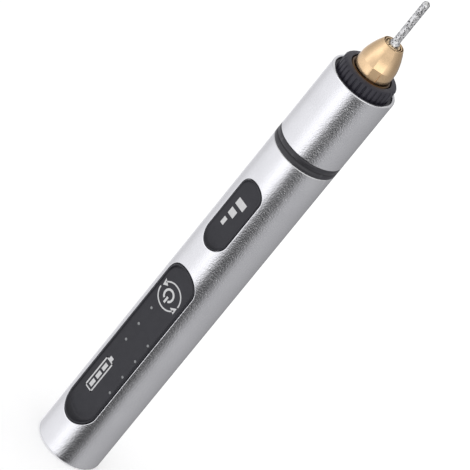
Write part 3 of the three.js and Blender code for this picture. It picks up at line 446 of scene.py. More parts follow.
# Materials
NOISE_SPAN = (0.3, 0.7)
PATCH_SPAN = (0.48, 0.58)
SPECK_EDGE = 0.06
WORN_SPAN = (0.53, 0.6)
WORN_SHARE = 0.8
# Painted shade: the soft edge and the dark brown of the shade painted into the nut's crevices and
# grooves
PAINTED_SHADE_EDGE = 0.05
PAINTED_SHADE_BROWN = (0.12, 0.075, 0.04)
POLISH_SIZE = 0.4
STRAIGHT_SPAN = (0.004, 0.02)
RING_WANDER = 15.0
BRASS = (0.83, 0.592, 0.352)


def finish(name, colour, metallic, roughness, *, grain, depth, tint, blotch, polish=0.05,
           specular=0.5, rings=0.0, ring_depth=0.004, worn=None, speck=None, patch=None,
           painted_shade=(), milled=0.0):
    """A procedural finish; sizes in millimetres.
    grain is the fine texture and depth its height, blotch the broad one, tint how far both change
    the colour, polish how far the roughness varies, rings the spacing of turning marks about Z,
    worn the colour of edges, speck and patch spots of another colour, milled the roughness added
    to faces that run straight along Z, grime the heights between which a painted dark brown shade
    for crevices and grooves fades out upwards, and how far from the axis it reaches."""
    made = bpy.data.materials.new(name)
    made.use_nodes = True
    tree = made.node_tree
    nodes, links = tree.nodes, tree.links
    shader = nodes["Principled BSDF"]
    shader.inputs["Metallic"].default_value = metallic
    shader.inputs["Specular IOR Level"].default_value = specular
    place = nodes.new("ShaderNodeTexCoord").outputs["Object"]

    def texture(scale, detail):
        mapping = nodes.new("ShaderNodeMapping")
        mapping.inputs["Scale"].default_value = scale
        links.new(place, mapping.inputs["Vector"])
        clouds = nodes.new("ShaderNodeTexNoise")
        clouds.inputs["Scale"].default_value = 1.0
        clouds.inputs["Detail"].default_value = detail
        links.new(mapping.outputs["Vector"], clouds.inputs["Vector"])
        return clouds.outputs["Fac"]

    def even(size, detail=3.0):
        return texture([1 / MM / size] * 3, detail)

    def tinted(clouds):
        dark, light = (
            tuple(min(c * share, 1.0) for c in colour) for share in (1 - tint, 1 + tint)
        )
        return mixed(tree, ranged(tree, clouds, NOISE_SPAN), dark, light)

    def bumped(height, distance):
        node = nodes.new("ShaderNodeBump")
        node.inputs["Strength"].default_value = 1.0
        node.inputs["Distance"].default_value = distance * MM
        links.new(height, node.inputs["Height"])
        return node

    fine = even(grain)
    result = mixed(tree, 0.5, tinted(even(blotch)), tinted(fine))
    if patch:
        size, other = patch
        result = mixed(tree, ranged(tree, even(size, 4.0), PATCH_SPAN), result, other)
    if speck:
        size, other, start = speck
        spots = ranged(tree, even(size, 1.0), (start, start + SPECK_EDGE))
        result = mixed(tree, spots, result, other)
    if worn:
        edge = nodes.new("ShaderNodeNewGeometry").outputs["Pointiness"]
        result = mixed(tree, ranged(tree, edge, WORN_SPAN, 0.0, WORN_SHARE), result, worn)
    # Painted shade: the colour turns dark brown below a height and near the axis, standing in for
    # shade in crevices
    for low, high, reach in painted_shade:
        split = nodes.new("ShaderNodeSeparateXYZ")
        links.new(place, split.inputs[0])
        flat = nodes.new("ShaderNodeCombineXYZ")
        links.new(split.outputs["X"], flat.inputs["X"])
        links.new(split.outputs["Y"], flat.inputs["Y"])
        across = nodes.new("ShaderNodeVectorMath")
        across.operation = "LENGTH"
        links.new(flat.outputs[0], across.inputs[0])
        deep = ranged(tree, split.outputs["Z"], (low * MM, high * MM), 1.0, 0.0)
        ends = (reach * MM, (reach + PAINTED_SHADE_EDGE) * MM)
        within = ranged(tree, across.outputs["Value"], ends, 1.0, 0.0)
        result = mixed(tree, maths(tree, "MULTIPLY", deep, within), result, PAINTED_SHADE_BROWN)
    links.new(result, shader.inputs["Base Color"])

    polished = even(blotch * POLISH_SIZE)
    rough = ranged(tree, polished, NOISE_SPAN, roughness - polish, roughness + polish)
    if milled:
        facing = nodes.new("ShaderNodeSeparateXYZ")
        links.new(nodes.new("ShaderNodeNewGeometry").outputs["Normal"], facing.inputs[0])
        slope = maths(tree, "ABSOLUTE", facing.outputs["Z"])
        rough = maths(tree, "ADD", rough, ranged(tree, slope, STRAIGHT_SPAN, milled, 0.0))
    links.new(rough, shader.inputs["Roughness"])

    normal = bumped(fine, depth).outputs["Normal"]
    if rings:
        marks = texture([RING_WANDER, RING_WANDER, 1 / MM / rings], 2.0)
        turned = bumped(marks, ring_depth)
        links.new(normal, turned.inputs["Normal"])
        normal = turned.outputs["Normal"]
    links.new(normal, shader.inputs["Normal"])
    return made


LOOKS = {
    "shell_aluminium": finish(
        "satin_aluminium", (0.80, 0.80, 0.808), 1.0, 0.17, grain=0.45, depth=0.056, tint=0.05,
        blotch=9.0, polish=0.03, rings=0.25, ring_depth=0.0006, worn=(0.93, 0.93, 0.94)),
    "panel_black": finish(
        "moulded_black", (0.013, 0.013, 0.0185), 0.0, 0.5, grain=0.4, depth=0.016, tint=0.16,
        blotch=5.0),
    "ring_black": finish(
        "ribbed_black", (0.027, 0.0255, 0.036), 0.0, 0.4, grain=0.2, depth=0.009, tint=0.2,
        blotch=3.0, polish=0.07, rings=0.3, worn=(0.06, 0.057, 0.068), specular=0.38),
    "brass": finish(
        "turned_brass", BRASS, 1.0, 0.2, grain=0.3, depth=0.002, tint=0.06, blotch=3.0,
        rings=0.16, ring_depth=0.003, worn=(0.93, 0.76, 0.5)),
    "steel": finish(
        "bright_steel", (0.62, 0.62, 0.63), 1.0, 0.24, grain=0.25, depth=0.002, tint=0.05,
        blotch=4.0, rings=0.2, ring_depth=0.002, worn=(0.8, 0.8, 0.8)),
    "bearing_steel": finish(
        "ground_steel", (0.66, 0.665, 0.68), 1.0, 0.14, grain=0.2, depth=0.001, tint=0.04,
        blotch=3.0, polish=0.03, rings=0.1, ring_depth=0.001),
    "grit_steel": finish(
        "grit_steel", (0.80, 0.80, 0.79), 0.9, 0.3, grain=0.2, depth=0.02, tint=0.15, blotch=0.9,
        polish=0.08, patch=(0.8, (0.45, 0.45, 0.45)), speck=(0.42, (0.02, 0.02, 0.02), 0.58)),
    "inner_plastic": finish(
        "glass_filled_plastic", (0.03, 0.031, 0.034), 0.0, 0.6, grain=0.3, depth=0.01, tint=0.15,
        blotch=5.0, polish=0.08),
    "board_green": finish(
        "board_lacquer", (0.012, 0.085, 0.035), 0.0, 0.38, grain=0.5, depth=0.006, tint=0.12,
        blotch=2.5, polish=0.08, patch=(1.6, (0.018, 0.12, 0.05))),
    "cell_wrap": finish(
        "cell_wrap", (0.03, 0.16, 0.38), 0.0, 0.32, grain=0.6, depth=0.01, tint=0.08, blotch=7.0,
        polish=0.08),
    "copper": finish(
        "copper", (0.66, 0.28, 0.13), 1.0, 0.3, grain=0.25, depth=0.004, tint=0.1, blotch=2.0,
        polish=0.07, rings=0.3),
    "magnet_grey": finish(
        "sintered_grey", (0.045, 0.045, 0.047), 0.1, 0.7, grain=0.2, depth=0.012, tint=0.2,
        blotch=2.0, polish=0.08),
    "clear_plastic": finish(
        "milky_plastic", (0.26, 0.265, 0.275), 0.0, 0.35, grain=0.3, depth=0.003, tint=0.06,
        blotch=1.5),
    "lamp_white": finish(
        "pale_print", (0.66, 0.66, 0.67), 0.0, 0.5, grain=0.15, depth=0.003, tint=0.06,
        blotch=2.0),
    "lead_red": finish(
        "red_sleeving", (0.38, 0.02, 0.02), 0.0, 0.45, grain=0.3, depth=0.006, tint=0.08,
        blotch=3.0),
    "lead_black": finish(
        "black_sleeving", (0.012, 0.012, 0.013), 0.0, 0.45, grain=0.3, depth=0.006, tint=0.12,
        blotch=3.0),
}
accent_black = finish(
    "turned_black", (0.027, 0.026, 0.031), 0.0, 0.38, grain=0.2, depth=0.004, tint=0.1,
    blotch=4.0, polish=0.06, rings=0.25, worn=(0.06, 0.06, 0.066))
# Painted shade on the nut: its foot against the nose ring, and the groove and mouth of its front,
# are coloured dark brown
nut_brass = finish(
    "nut_brass", BRASS, 1.0, 0.22, grain=0.35, depth=0.004, tint=0.07, blotch=2.6, rings=0.2,
    ring_depth=0.003, painted_shade=[(146.8, 147.0, 9.0), (156.72, 156.86, 3.0)], milled=0.25)


# Shell
def make_barrel():
    """A tube with a rounded rear edge, a seat for the cap and an opening for each panel"""
    mesh = Mesh()
    bevelled = [(KEY, -PANEL_BEVEL), (INLAY, -PANEL_BEVEL)]
    shell_skin(mesh, RADIUS, REAR_ROUND, BARREL_END - EDGE, bevelled)
    shell_skin(mesh, BORE, CAP_DEPTH, BARREL_END, [(KEY, 0)])
    steps = 12
    rear = []
    for i in range(steps + 1):
        turn = math.pi / 2 * i / steps
        inward = REAR_ROUND * (1 - math.cos(turn))
        rear.append((RADIUS - inward, REAR_ROUND * (1 - math.sin(turn))))
    seat = CAP_RADIUS + CAP_GAP
    rear += [(seat + CAP_CHAMFER, 0), (seat, CAP_CHAMFER), (seat, CAP_DEPTH), (BORE, CAP_DEPTH)]
    mesh.skin(circles(rear, SHELL_SIDES))
    front = outer_edge(BARREL_EDGE, BARREL_END, -1) + [(BORE, BARREL_END)]
    mesh.skin(circles(front, SHELL_SIDES))
    across, down = PANEL_BEVEL * 0.45, PANEL_BEVEL * 0.25
    for panel, floor in ((KEY, None), (INLAY, INLAY["back"])):
        rings = [
            panel_ring(panel, -PANEL_BEVEL, on_round(RADIUS)),
            panel_ring(panel, -across, on_round(RADIUS, down)),
            panel_ring(panel, 0, on_round(RADIUS, PANEL_BEVEL)),
            panel_ring(panel, 0, floor if floor else on_round(BORE)),
        ]
        mesh.skin(rings)
        if floor:
            mesh.face(rings[-1])
    return mesh


def make_panel(panel, holes, edge):
    """A flat face inside a thin rim that follows the barrel, on a plate with round holes"""
    mesh = Mesh()
    gap, rim, face, back = (panel[k] for k in ("gap", "rim", "face", "back"))
    inner = gap + rim
    soft = edge * 0.3
    rings = [panel_ring(panel, gap, back)]
    rings += [panel_ring(panel, inset, on_round(RADIUS, drop)) for inset, drop in (
        (gap, edge), (gap + soft, soft), (gap + edge, 0),
        (inner - edge, 0), (inner - soft, soft), (inner, edge),
    )]
    fillet, steps, lean = 0.35, 10, 0.75
    top = on_round(RADIUS, edge)
    slope = (RADIUS - face) * lean
    for i in range(1, steps + 1):
        share = i / steps
        rings.append(panel_ring(
            panel, inner + fillet * share, lambda x: face + (top(x) - face) * (1 - share) ** 2,
            slope * share,
        ))
    mesh.skin(rings)
    floor = [(x, z) for x, y, z in rings[-1]]
    wells = [
        [(x + WELL_RADIUS * math.cos(a), z + WELL_RADIUS * math.sin(a)) for a in turns(PIN_SIDES)]
        for x, z in holes
    ]

    def solid(x, z):
        return not any(math.hypot(x - a, z - b) < WELL_RADIUS for a, b in holes)

    for outline, distance in ((floor, face), (stadium(panel, gap), back)):
        spread(mesh, [outline, *wells], [], lambda x, z: (x, -distance, z), solid)
    for well in wells:
        mesh.strip([(x, -face, z) for x, z in well], [(x, -back, z) for x, z in well])
    return mesh


def make_key():
    """The long panel with the lug for its pin, the tongue under the barrel's wall and the nub"""
    mesh = make_panel(KEY, STATUS_LIGHTS + SPEED_LIGHTS, 0.1)
    lug = [(-1.9, 1.9), (-7.2, -5.07), (11.95, 13.85)]
    tongue = [(-2.5, 2.5), (-7.29, -6.49), (65.8, 71.6)]
    nub = dict(radius=1.2, near=6.817, far=7.3, x=0, z=59.8)
    block(mesh, *lug)
    block(mesh, *tongue)
    pin(mesh, **nub)
    return mesh


def make_guide(lights):
    """A bar behind the key with a light pin in each of its wells"""
    mesh = Mesh()
    half, over, gap, thick, sunk, proud = 0.65, 1, 0.02, 0.5, 0.2, 0.02
    side = lights[0][0]
    ys = (-KEY["back"] + gap, -KEY["back"] + thick)
    block(mesh, (side - half, side + half), ys, (lights[0][1] - over, lights[-1][1] + over))
    for x, z in lights:
        pin(mesh, LIGHT_RADIUS, KEY["back"] - sunk, KEY["face"] + proud, x, z, crown=0.04)
    return mesh


def make_nose():
    """A ring with rounded ribs round its front"""
    ribs, across = 32, 12
    crest, valley = 8.36, 7.97
    flank_start, flank = 0.52, 0.36

    def reach(i):
        share = abs((i / across + 0.5) % 1 - 0.5) * 2
        ramp = min(max((share - flank_start) / flank, 0), 1)
        return crest - (crest - valley) * eased(ramp)

    def ring(r, z, ribbed):
        points = []
        for i, angle in enumerate(turns(ribs * across)):
            limit = min(r, reach(i)) if ribbed else r
            points.append((limit * math.cos(angle), limit * math.sin(angle), z))
        return points

    rear = [
        (4.7, 139.6), (8.1, 139.6), (8.1, 141.1), (9.1, 141.1), (9.1, 142.42), (9.02, 142.5),
        (8.42, 142.5),
    ]
    front = [
        (crest, 142.5), (crest, 142.62), (8.35, 146.02), (8.3, 146.16), (8.1, 146.4),
        (7.85, 146.62), (7.62, NOSE_END),
    ]
    inner = [(6.5, NOSE_END), (6.4, 146.65), (6.4, 145.4), (4.7, 145.4)]
    rings = [ring(r, z, part is front) for part in (rear, front, inner) for r, z in part]
    mesh = Mesh()
    mesh.skin([*rings, rings[0]])
    return mesh


def make_cap():
    """A cap with a skirt, cut for the charging socket and the two screws"""
    cap = lathe([
        (0.01, 0), (CAP_RADIUS - CAP_CHAMFER, 0), (CAP_RADIUS, CAP_CHAMFER),
        (CAP_RADIUS, CAP_DEPTH), (7.7, CAP_DEPTH), (7.7, 3.9), (6.65, 3.9), (6.65, CAP_DEPTH),
        (0.01, CAP_DEPTH),
    ])
    opening = capsule(SOCKET_WIDTH + SOCKET_GAP, SOCKET_HEIGHT + SOCKET_GAP)
    cuts = [tube_along([(opening, z) for z in (-1, 2.5)])]
    seat = [(1.6, -1), (1.6, -0.001), (1.45, 0.14), (1.45, 0.9), (0.85, 0.9), (0.85, 5)]
    cuts += [shifted(filled(seat, SCREW_SIDES), side * SCREW_SIDE) for side in (-1, 1)]
    return cap, cuts


def make_screw():
    """A domed head, and a shank with the crests of its thread"""
    outer, root, tip, pitch = 0.75, 0.6, 8.2, 0.26
    head = [(0.01, 0.1), (0.9, 0.115), (1.2, 0.16), (1.33, 0.26), (1.35, 0.36), (1.35, 0.85)]
    shank = [(outer, 0.85)]
    for i in range(24):
        z = 1.6 + i * pitch
        shank += [(outer, z), (root, z + pitch / 2)]
    return filled(head + shank + [(root, tip), (0.01, 8.95)], SCREW_SIDES)


# Turning pieces
def make_nut():
    """A lip, a slight cone and an ogive, with two narrow facets that are cut deeper on the cone"""
    base, front, power, steps = 5.76, 3.22, 2.18, 32
    foot, foot_radius, shelf, length = 146.775, 5.64, 150.3, 9.95
    body = [(foot_radius, foot)]
    for i in range(steps + 1):
        share = ((shelf - NOSE_END) * (steps - i) + length * i) / (length * steps)
        body.append((base - (base - front) * share ** power, NOSE_END + share * length))
    lip = [
        (4.06, NUT_START), (5.98, NUT_START), (6.08, 146.25), (6.1, 146.33), (6.1, 146.45),
        (6.04, 146.52), (5.72, 146.62), (foot_radius, 146.66),
    ]
    rim = [(3.20, 156.80), (3.17, 156.86), (3.10, NUT_END), (3.01, NUT_END), (2.98, 156.85)]
    groove = [(2.96, 156.3), (2.72, 156.3), (2.70, 156.84), (2.67, NUT_END), (2.48, NUT_END)]
    hollow = [(2.35, 156.76), (2.35, 156.2), (3.3, 152.4), (4.06, 152.4)]

    half, flat, narrow = 1.4, 5.1, 4.0
    clear_radius, clear_end = 7.0, 157.5
    section = [(flat, foot), (flat, shelf)]
    for r, z in body[1:]:
        chord = half * min(r / narrow, 1) ** 2
        section.append((math.sqrt(r * r - chord * chord), z))
    section += [(section[-1][0], clear_end), (clear_radius, clear_end), (clear_radius, foot)]
    turn = math.radians(-48.5)
    cuts = []
    for side in (-1, 1):
        c, s = side * math.cos(turn), side * math.sin(turn)
        cuts.append(Mesh())
        cuts[-1].solid([
            [(u * c - v * s, u * s + v * c, z) for u, z in section] for v in (-half, half)
        ])
    return lathe([*lip, *body, *rim, *groove, *hollow], 224), cuts


def make_bit():
    """Shank, polished flare, and a rod whose surface is raised in small grains"""
    sides, flare_steps, tip_steps = 90, 8, 15
    neck, neck_start, flare, rod = 1.46, 157.28, 1.12, 1.125
    grit_start, row, plain_end, grit_fade = 158.45, 0.085, 158.3, 0.5
    grain, grain_rise, pebble, fine, fine_rise = 0.27, 0.055, 0.7, 0.11, 0.012
    outline = [(0.01, 134.9), (1.35, 134.9), (1.5, 135.05), (1.5, 157.15), (neck, neck_start)]
    for i in range(1, flare_steps + 1):
        share = i / flare_steps
        outline.append((neck - (neck - rod) * eased(share), neck_start + flare * share))
    rings = circles(outline, sides)
    dome = BIT_END - rod
    rows = []
    height = grit_start
    while height < dome:
        rows.append((rod, height, 1.0))
        height += row
    for i in range(tip_steps):
        turn = math.pi / 2 * i / tip_steps
        rows.append((rod * math.cos(turn), dome + rod * math.sin(turn), math.cos(turn)))
    rows.append((0.01, BIT_END, 0))
    for r, z, share in rows:
        ring = []
        for angle in turns(sides):
            at = Vector((rod * math.sin(angle), rod * math.cos(angle), z))
            near = noise.voronoi(at / grain)[0][0]
            lift = grain_rise * min(near / pebble, 1.0) + fine_rise
            lift += noise.noise(at / fine) * fine_rise
            lift *= min((z - plain_end) / grit_fade, 1.0)
            deep = max(r - lift * max(share, 0.15), 0.004)
            sunk = z - lift * (1 - share) * 0.5
            ring.append((deep * math.sin(angle), -deep * math.cos(angle), sunk))
        rings.append(ring)
    mesh = Mesh()
    mesh.solid(rings)
    return mesh


def make_collet():
    """A tube with a cone in front and four slits"""
    outline = [
        (1.55, 145.8), (2.32, 145.8), (2.4, 145.88), (2.4, 152.5), (3.18, 152.5), (3.2, 152.6),
        (2.28, 156.15), (2.25, 156.25), (2.25, 156.4), (2.0, 156.8), (1.62, 156.8),
        (1.55, 156.73),
    ]
    reach, half, heights = 4, 0.175, (147.9, 158)
    return lathe(outline, 120), crossed(reach, half, heights)


def make_spindle():
    """Stub, bearing seats, neck, and a right-handed thread"""
    sides, rows, pitch = 96, 96, 0.75
    root, height, start, end = 3.62, 0.38, 146.4, 151.9
    run_in, run_out, flank = 0.5, 0.4, 1.25
    rings = circles([
        (0.01, 112.3), (1.4, 112.3), (1.5, 112.4), (1.5, 121.6), (2.9, 121.6), (3.0, 121.7),
        (3.0, 125.9), (3.8, 125.9), (3.8, 131.9), (3.0, 131.9), (3.0, 136.2), (4.3, 136.2),
        (4.4, 136.3), (4.4, 146.0), (4.3, 146.1), (root, 146.1), (root, start),
    ], sides)
    for k in range(rows + 1):
        z = start + (end - start) * k / rows
        fade = max(min(1, (z - start) / run_in, (end - z) / run_out), 0)
        ring = []
        for i, angle in enumerate(turns(sides)):
            phase = (z / pitch - i / sides) % 1
            ramp = min(abs(phase - 0.5) * 2 * flank, 1.0)
            r = root + height * (1 - ramp) * fade
            ring.append((r * math.sin(angle), -r * math.cos(angle), z))
        rings.append(ring)
    rings += circles([
        (3.5, 152.0), (2.45, 152.0), (2.45, 145.7), (1.6, 145.7), (1.6, 134.6), (0.01, 134.6),
    ], sides)
    mesh = Mesh()
    mesh.solid(rings)
    return mesh


# Marks, as thin raised shapes between two distances from the axis
def relief(panel):
    return panel["face"] - MARK_SINK, panel["face"] + MARK_RISE


def prism(mesh, outline, distances):
    mesh.solid([[(x, -distance, z) for x, z in outline] for distance in distances])


def bar(mesh, xs, zs, distances):
    (left, right), (rear, front) = xs, zs
    prism(mesh, [(left, rear), (right, rear), (right, front), (left, front)], distances)


def band(mesh, centre, radii, stroke, angles, distances):
    """A stroke along an oval arc, angles in degrees from +X towards +Z"""
    count = 40
    (x, z), (wide, tall), (first, last) = centre, radii, angles
    steps = [math.radians(first + (last - first) * i / count) for i in range(count + 1)]

    def arc(offset, order):
        return [
            (x + (wide + offset) * math.cos(a), z + (tall + offset) * math.sin(a)) for a in order
        ]

    prism(mesh, arc(stroke / 2, steps) + arc(-stroke / 2, steps[::-1]), distances)


def make_key_marks():
    """The power mark inside two circular arrows, and a plain battery figure"""
    mesh = Mesh()
    distances = relief(KEY)
    z = 59.75
    band(mesh, (-0.4, z), (1.7, 1.7), 0.65, (-60, 240), distances)
    bar(mesh, (-0.7, 0.0), (z - 2.5, z - 0.45), distances)
    for angles in ((0, 150), (182, 335)):
        band(mesh, (-0.1, z), (4.15, 3.84), 0.42, angles, distances)
    for head in (
        ((-4.4, 2.75), (-2.5, 1.65), (-4.0, 0.6)), ((2.25, -1.9), (4.2, -2.5), (4.1, -0.4)),
    ):
        prism(mesh, [(a, z + b) for a, b in head], distances)
    left, right, rear, front, line = -3.45, -0.35, 21.2, 32.4, 0.42
    for xs, zs in (
        ((left, left + line), (rear, front)), ((right - line, right), (rear, front)),
        ((left, right), (rear, rear + line)), ((left, right), (front - line, front)),
        ((left + 0.9, right - 0.9), (front + 0.02, front + 1.1)),
    ):
        bar(mesh, xs, zs, distances)
    margin, first, pitch, length = 0.95, 1.15, 3.1, 2.3
    for i in range(3):
        bottom = rear + first + i * pitch
        bar(mesh, (left + margin, right - margin), (bottom, bottom + length), distances)
    return mesh


def make_inlay_marks():
    """Three rising bars"""
    mesh = Mesh()
    left, first, pitch, length = -1.95, 87.2, 3.6, 2.3
    for i, reach in enumerate((1.25, 2.35, 3.45)):
        rear = first + i * pitch
        bar(mesh, (left, left + reach), (rear, rear + length), relief(INLAY))
    return mesh


# Shell
piece("barrel_skin", make_barrel(), "housing", "shell_aluminium", ["barrel"], sharp=28,
      radii=[(RADIUS, 1), (BORE, -1)])
piece("front_inlay_plate", make_panel(INLAY, (), 0.06), "housing", "panel_black",
      ["front_inlay"])
piece("front_inlay_bars", make_inlay_marks(), "housing", "lamp_white")
middle = (BARREL_END + SLEEVE_START) / 2
groove = [
    (RADIUS, -0.27), (9.96, -0.22), (9.72, -0.05), (9.7, 0), (9.72, 0.05), (9.96, 0.22),
    (RADIUS, 0.27),
]
piece("accent_ring_turned", lathe([
    (7.9, BARREL_END), *outer_edge(RING_EDGE, BARREL_END, 1),
    *[(r, middle + z) for r, z in groove],
    *outer_edge(RING_EDGE, SLEEVE_START, -1), (7.9, SLEEVE_START),
]), "housing", "ring_black", ["accent_ring"], sharp=50, look=accent_black)
piece("front_sleeve_turned", lathe([
    (8.2, SLEEVE_START), *outer_edge(SLEEVE_EDGE, SLEEVE_START, 1),
    *[(RADIUS, z) for z in (119.5, 122, 131, 140, 142.5)],
    *outer_edge(SLEEVE_EDGE, SLEEVE_END, -1),
    (9.3, SLEEVE_END), (9.2, 143.0), (9.2, 141.0), (8.2, 141.0),
]), "housing", "shell_aluminium", ["front_sleeve"], radii=[(RADIUS, 1)])
piece("nose_ring_ribbed", make_nose(), "housing", "ring_black", ["nose_ring"], sharp=40)
cap, cap_cuts = make_cap()
piece("rear_cap_moulded", cap, "housing", "ring_black", ["rear_cap"], cap_cuts)
for i, side in enumerate((-1, 1)):
    x = side * SCREW_SIDE
    recess = [shifted(cut, x) for cut in crossed(0.75, 0.18, (-0.5, 0.5))]
    piece(f"cap_screw_{i + 1}_turned", shifted(make_screw(), x), "housing", "steel",
          [f"cap_screw_{i + 1}"], recess)
piece("charging_socket_drawn", tube_along([
    (capsule(SOCKET_WIDTH - less, SOCKET_HEIGHT - less), z)
    for less, z in ((0, 7.6), (0, 0.36), (0.1, 0.3), (0.5, 0.3), (0.6, 0.36), (0.6, 7.3))
]), "housing", "steel", ["charging_socket_shell"])
tongue = slit((-3.35, 3.35), (-0.35, 0.35), (1.3, 7.3))
piece("charging_tongue_moulded", tongue, "housing", "ring_black", ["charging_socket_tongue"])
contacts = Mesh()
first, pitch, half = -2.75, 0.5, 0.13
for side in (-1, 1):
    for i in range(12):
        at = first + i * pitch
        ys = sorted((side * 0.345, side * 0.37))
        block(contacts, (at - half, at + half), ys, (1.6, 6.9), 0.005)
piece("charging_contacts", contacts, "housing", "brass")

# Key, lights and marks
piece("power_key_plate", make_key(), "power_key", "panel_black", ["power_key"])
piece("status_lights", make_guide(STATUS_LIGHTS), "power_key", "clear_plastic",
      ["status_light_guide"])
piece("speed_lights", make_guide(SPEED_LIGHTS), "power_key", "clear_plastic",
      ["speed_light_guide"])
piece("power_key_marks", make_key_marks(), "power_key", "lamp_white")

# Turning pieces
nut, nut_cuts = make_nut()
piece("collet_nut_turned", nut, "nut", "brass", ["collet_nut"], nut_cuts, sharp=4.5,
      look=nut_brass)
collet, collet_cuts = make_collet()
piece("collet_slotted", collet, "collet", "brass", ["collet"], collet_cuts)
piece("engraving_bit_grit", make_bit(), "bit", "grit_steel", ["engraving_bit"], sharp=60)
piece("spindle_threaded", make_spindle(), "spindle", "steel", ["spindle"])

# The solids that stay take the finish of their slot
for entry in frame["record"]["subparts"]:
    data = frame["nodes"][entry["node"]].data
    data.materials.clear()
    data.materials.append(LOOKS[entry["material_slot"]])

# Camera, in metres, and the scale of its picture in pixels
SENSOR = 36
PICTURE = 470
FOCAL = 5536.5
ASIDE, RAISED, AWAY = -0.005421, -0.007884, 1.4928
right = Vector((0.5310, 0.6375, 0.5583)).normalized()
up = Vector((-0.7272, 0.0045, 0.6864)).normalized()
forward = up.cross(right).normalized()
anchor = Vector((0, 0, 0.0725))
camera_data = bpy.data.cameras.new("camera")
camera_data.sensor_width = SENSOR
camera_data.lens = SENSOR * FOCAL / PICTURE
camera_data.clip_start = 0.05
camera_data.clip_end = 20
camera = bpy.data.objects.new("camera", camera_data)
scene.collection.objects.link(camera)
position = anchor - (ASIDE * right + RAISED * up + AWAY * forward)
axes = Matrix((right, up, -forward)).transposed()
camera.matrix_world = Matrix.Translation(position) @ axes.to_4x4()
scene.camera = camera

# Soft boxes and dark flags round the pen, as levels by azimuth in degrees from its lit front
LOW_LEFT = [(-180, 0.26), (-150, 0.34), (-100, 0.48), (-62, 0.51)]
LOW_RIGHT = [(54, 0.98), (84, 1.0), (112, 0.91), (138, 0.64), (160, 0.85), (179, 1.1)]
DEEP = [
    *LOW_LEFT, (-46, 0.36), (-34, 0.05), (-14, 0.02), (-2, 0.03), (7, 0.45), (20, 1.2),
    (38, 1.24), *LOW_RIGHT,
]
LOW = [
    *LOW_LEFT, (-46, 0.40), (-34, 0.145), (-14, 0.145), (-2, 0.37), (7, 1.22), (20, 1.44),
    (38, 1.28), *LOW_RIGHT,
]
MIDDLE = [
    (-180, 0.4), (-120, 0.38), (-92, 0.42), (-74, 0.8), (-60, 1.0), (-44, 1.4), (-34, 1.6),
    (-10, 1.6), (4, 0.75), (20, 0.95), (40, 0.95), (54, 1.3), (64, 1.5), (80, 0.9),
    (104, 0.72), (130, 0.55), (179, 0.8),
]
HIGH = [
    (-180, 0.5), (-120, 0.4), (-90, 0.45), (-60, 0.68), (-40, 0.88), (0, 0.8), (20, 1.0),
    (40, 1.6), (60, 1.5), (80, 0.95), (120, 0.62), (179, 0.8),
]
PEAK = 1.6
BLUENESS = 1.04
CEILING = (0.8, 0.8, 0.8)
SOFT_LIGHT = (0.95, 0.95, 0.95)
BACKDROP = (1.0, 1.0, 1.0)
# Level directions towards the lit front and at right angles to it
TOWARDS = (0.4917, -0.8708, 0)
ACROSS = (-0.8708, -0.4917, 0)
world = bpy.data.worlds.new("studio")
scene.world = world
world.use_nodes = True
sky = world.node_tree
background = sky.nodes["Background"]
background.inputs["Strength"].default_value = 1.0
direction = sky.nodes.new("ShaderNodeTexCoord").outputs["Generated"]


def along(vector):
    node = sky.nodes.new("ShaderNodeVectorMath")
    node.operation = "DOT_PRODUCT"
    sky.links.new(direction, node.inputs[0])
    node.inputs[1].default_value = vector
    return node.outputs["Value"]


azimuth = maths(sky, "ARCTAN2", along(ACROSS), along(TOWARDS))
around = maths(sky, "ADD", maths(sky, "DIVIDE", azimuth, 2 * math.pi), 0.5)


def panorama(levels):
    """Grey levels by azimuth, kept below 1 on the ramp and raised to their strength after it"""
    ramp = sky.nodes.new("ShaderNodeValToRGB")
    ramp.color_ramp.interpolation = "B_SPLINE"
    stops = ramp.color_ramp.elements
    while len(stops) < len(levels):
        stops.new(0.5)
    for stop, (angle, level) in zip(stops, levels):
        stop.position = (angle + 180) / 360
        stop.color = (level / PEAK, level / PEAK, min(level * BLUENESS / PEAK, 1), 1)
    sky.links.new(around, ramp.inputs["Fac"])
    raised = sky.nodes.new("ShaderNodeVectorMath")
    raised.operation = "SCALE"
    raised.inputs["Scale"].default_value = PEAK
    sky.links.new(ramp.outputs["Color"], raised.inputs[0])
    return raised.outputs["Vector"]


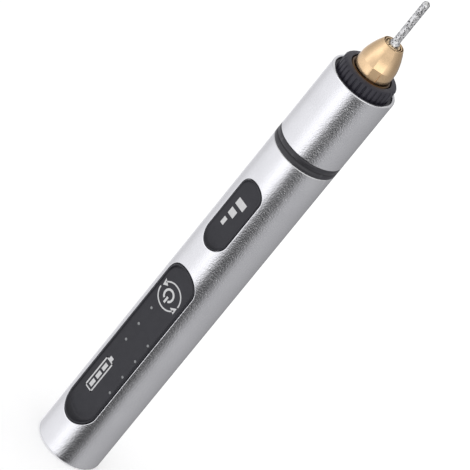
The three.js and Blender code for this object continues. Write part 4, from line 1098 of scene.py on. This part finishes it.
height = along((0, 0, 1))
studio = panorama(DEEP)
for span, layer in (
    ((-0.56, -0.44), panorama(LOW)), ((-0.33, -0.22), panorama(MIDDLE)),
    ((0.1, 0.2), panorama(HIGH)), ((0.42, 0.6), CEILING),
):
    studio = mixed(sky, ranged(sky, height, span), studio, layer)
path = sky.nodes.new("ShaderNodeLightPath")
studio = mixed(sky, path.outputs["Is Diffuse Ray"], studio, SOFT_LIGHT)
studio = mixed(sky, path.outputs["Is Camera Ray"], studio, BACKDROP)
sky.links.new(studio, background.inputs["Color"])

# Pale floor under the rear end, clear from below and to reflections
FLOOR_REACH = 3
FLOOR_GREY = (0.93, 0.93, 0.93, 1)
FLOOR_GLOW = 0.2
floor_mesh = bpy.data.meshes.new("floor")
corners = [(x * FLOOR_REACH, y * FLOOR_REACH, 0) for x, y in ((-1, -1), (1, -1), (1, 1), (-1, 1))]
floor_mesh.from_pydata(corners, [], [(0, 1, 2, 3)])
floor = bpy.data.objects.new("floor", floor_mesh)
scene.collection.objects.link(floor)
pale = bpy.data.materials.new("pale_floor")
pale.use_nodes = True
floor_mesh.materials.append(pale)
tree = pale.node_tree
nodes, links = tree.nodes, tree.links
nodes.clear()
output = nodes.new("ShaderNodeOutputMaterial")
diffuse = nodes.new("ShaderNodeBsdfDiffuse")
diffuse.inputs["Color"].default_value = FLOOR_GREY
glow = nodes.new("ShaderNodeEmission")
path = nodes.new("ShaderNodeLightPath")
seen_glow = maths(tree, "MULTIPLY", path.outputs["Is Camera Ray"], FLOOR_GLOW)
links.new(seen_glow, glow.inputs["Strength"])
surface = nodes.new("ShaderNodeAddShader")
links.new(diffuse.outputs[0], surface.inputs[0])
links.new(glow.outputs[0], surface.inputs[1])
clear = nodes.new("ShaderNodeBsdfTransparent")
seen = nodes.new("ShaderNodeMixShader")
below = nodes.new("ShaderNodeNewGeometry").outputs["Backfacing"]
links.new(maths(tree, "MAXIMUM", path.outputs["Is Glossy Ray"], below), seen.inputs["Fac"])
links.new(surface.outputs[0], seen.inputs[1])
links.new(clear.outputs[0], seen.inputs[2])
links.new(seen.outputs[0], output.inputs["Surface"])
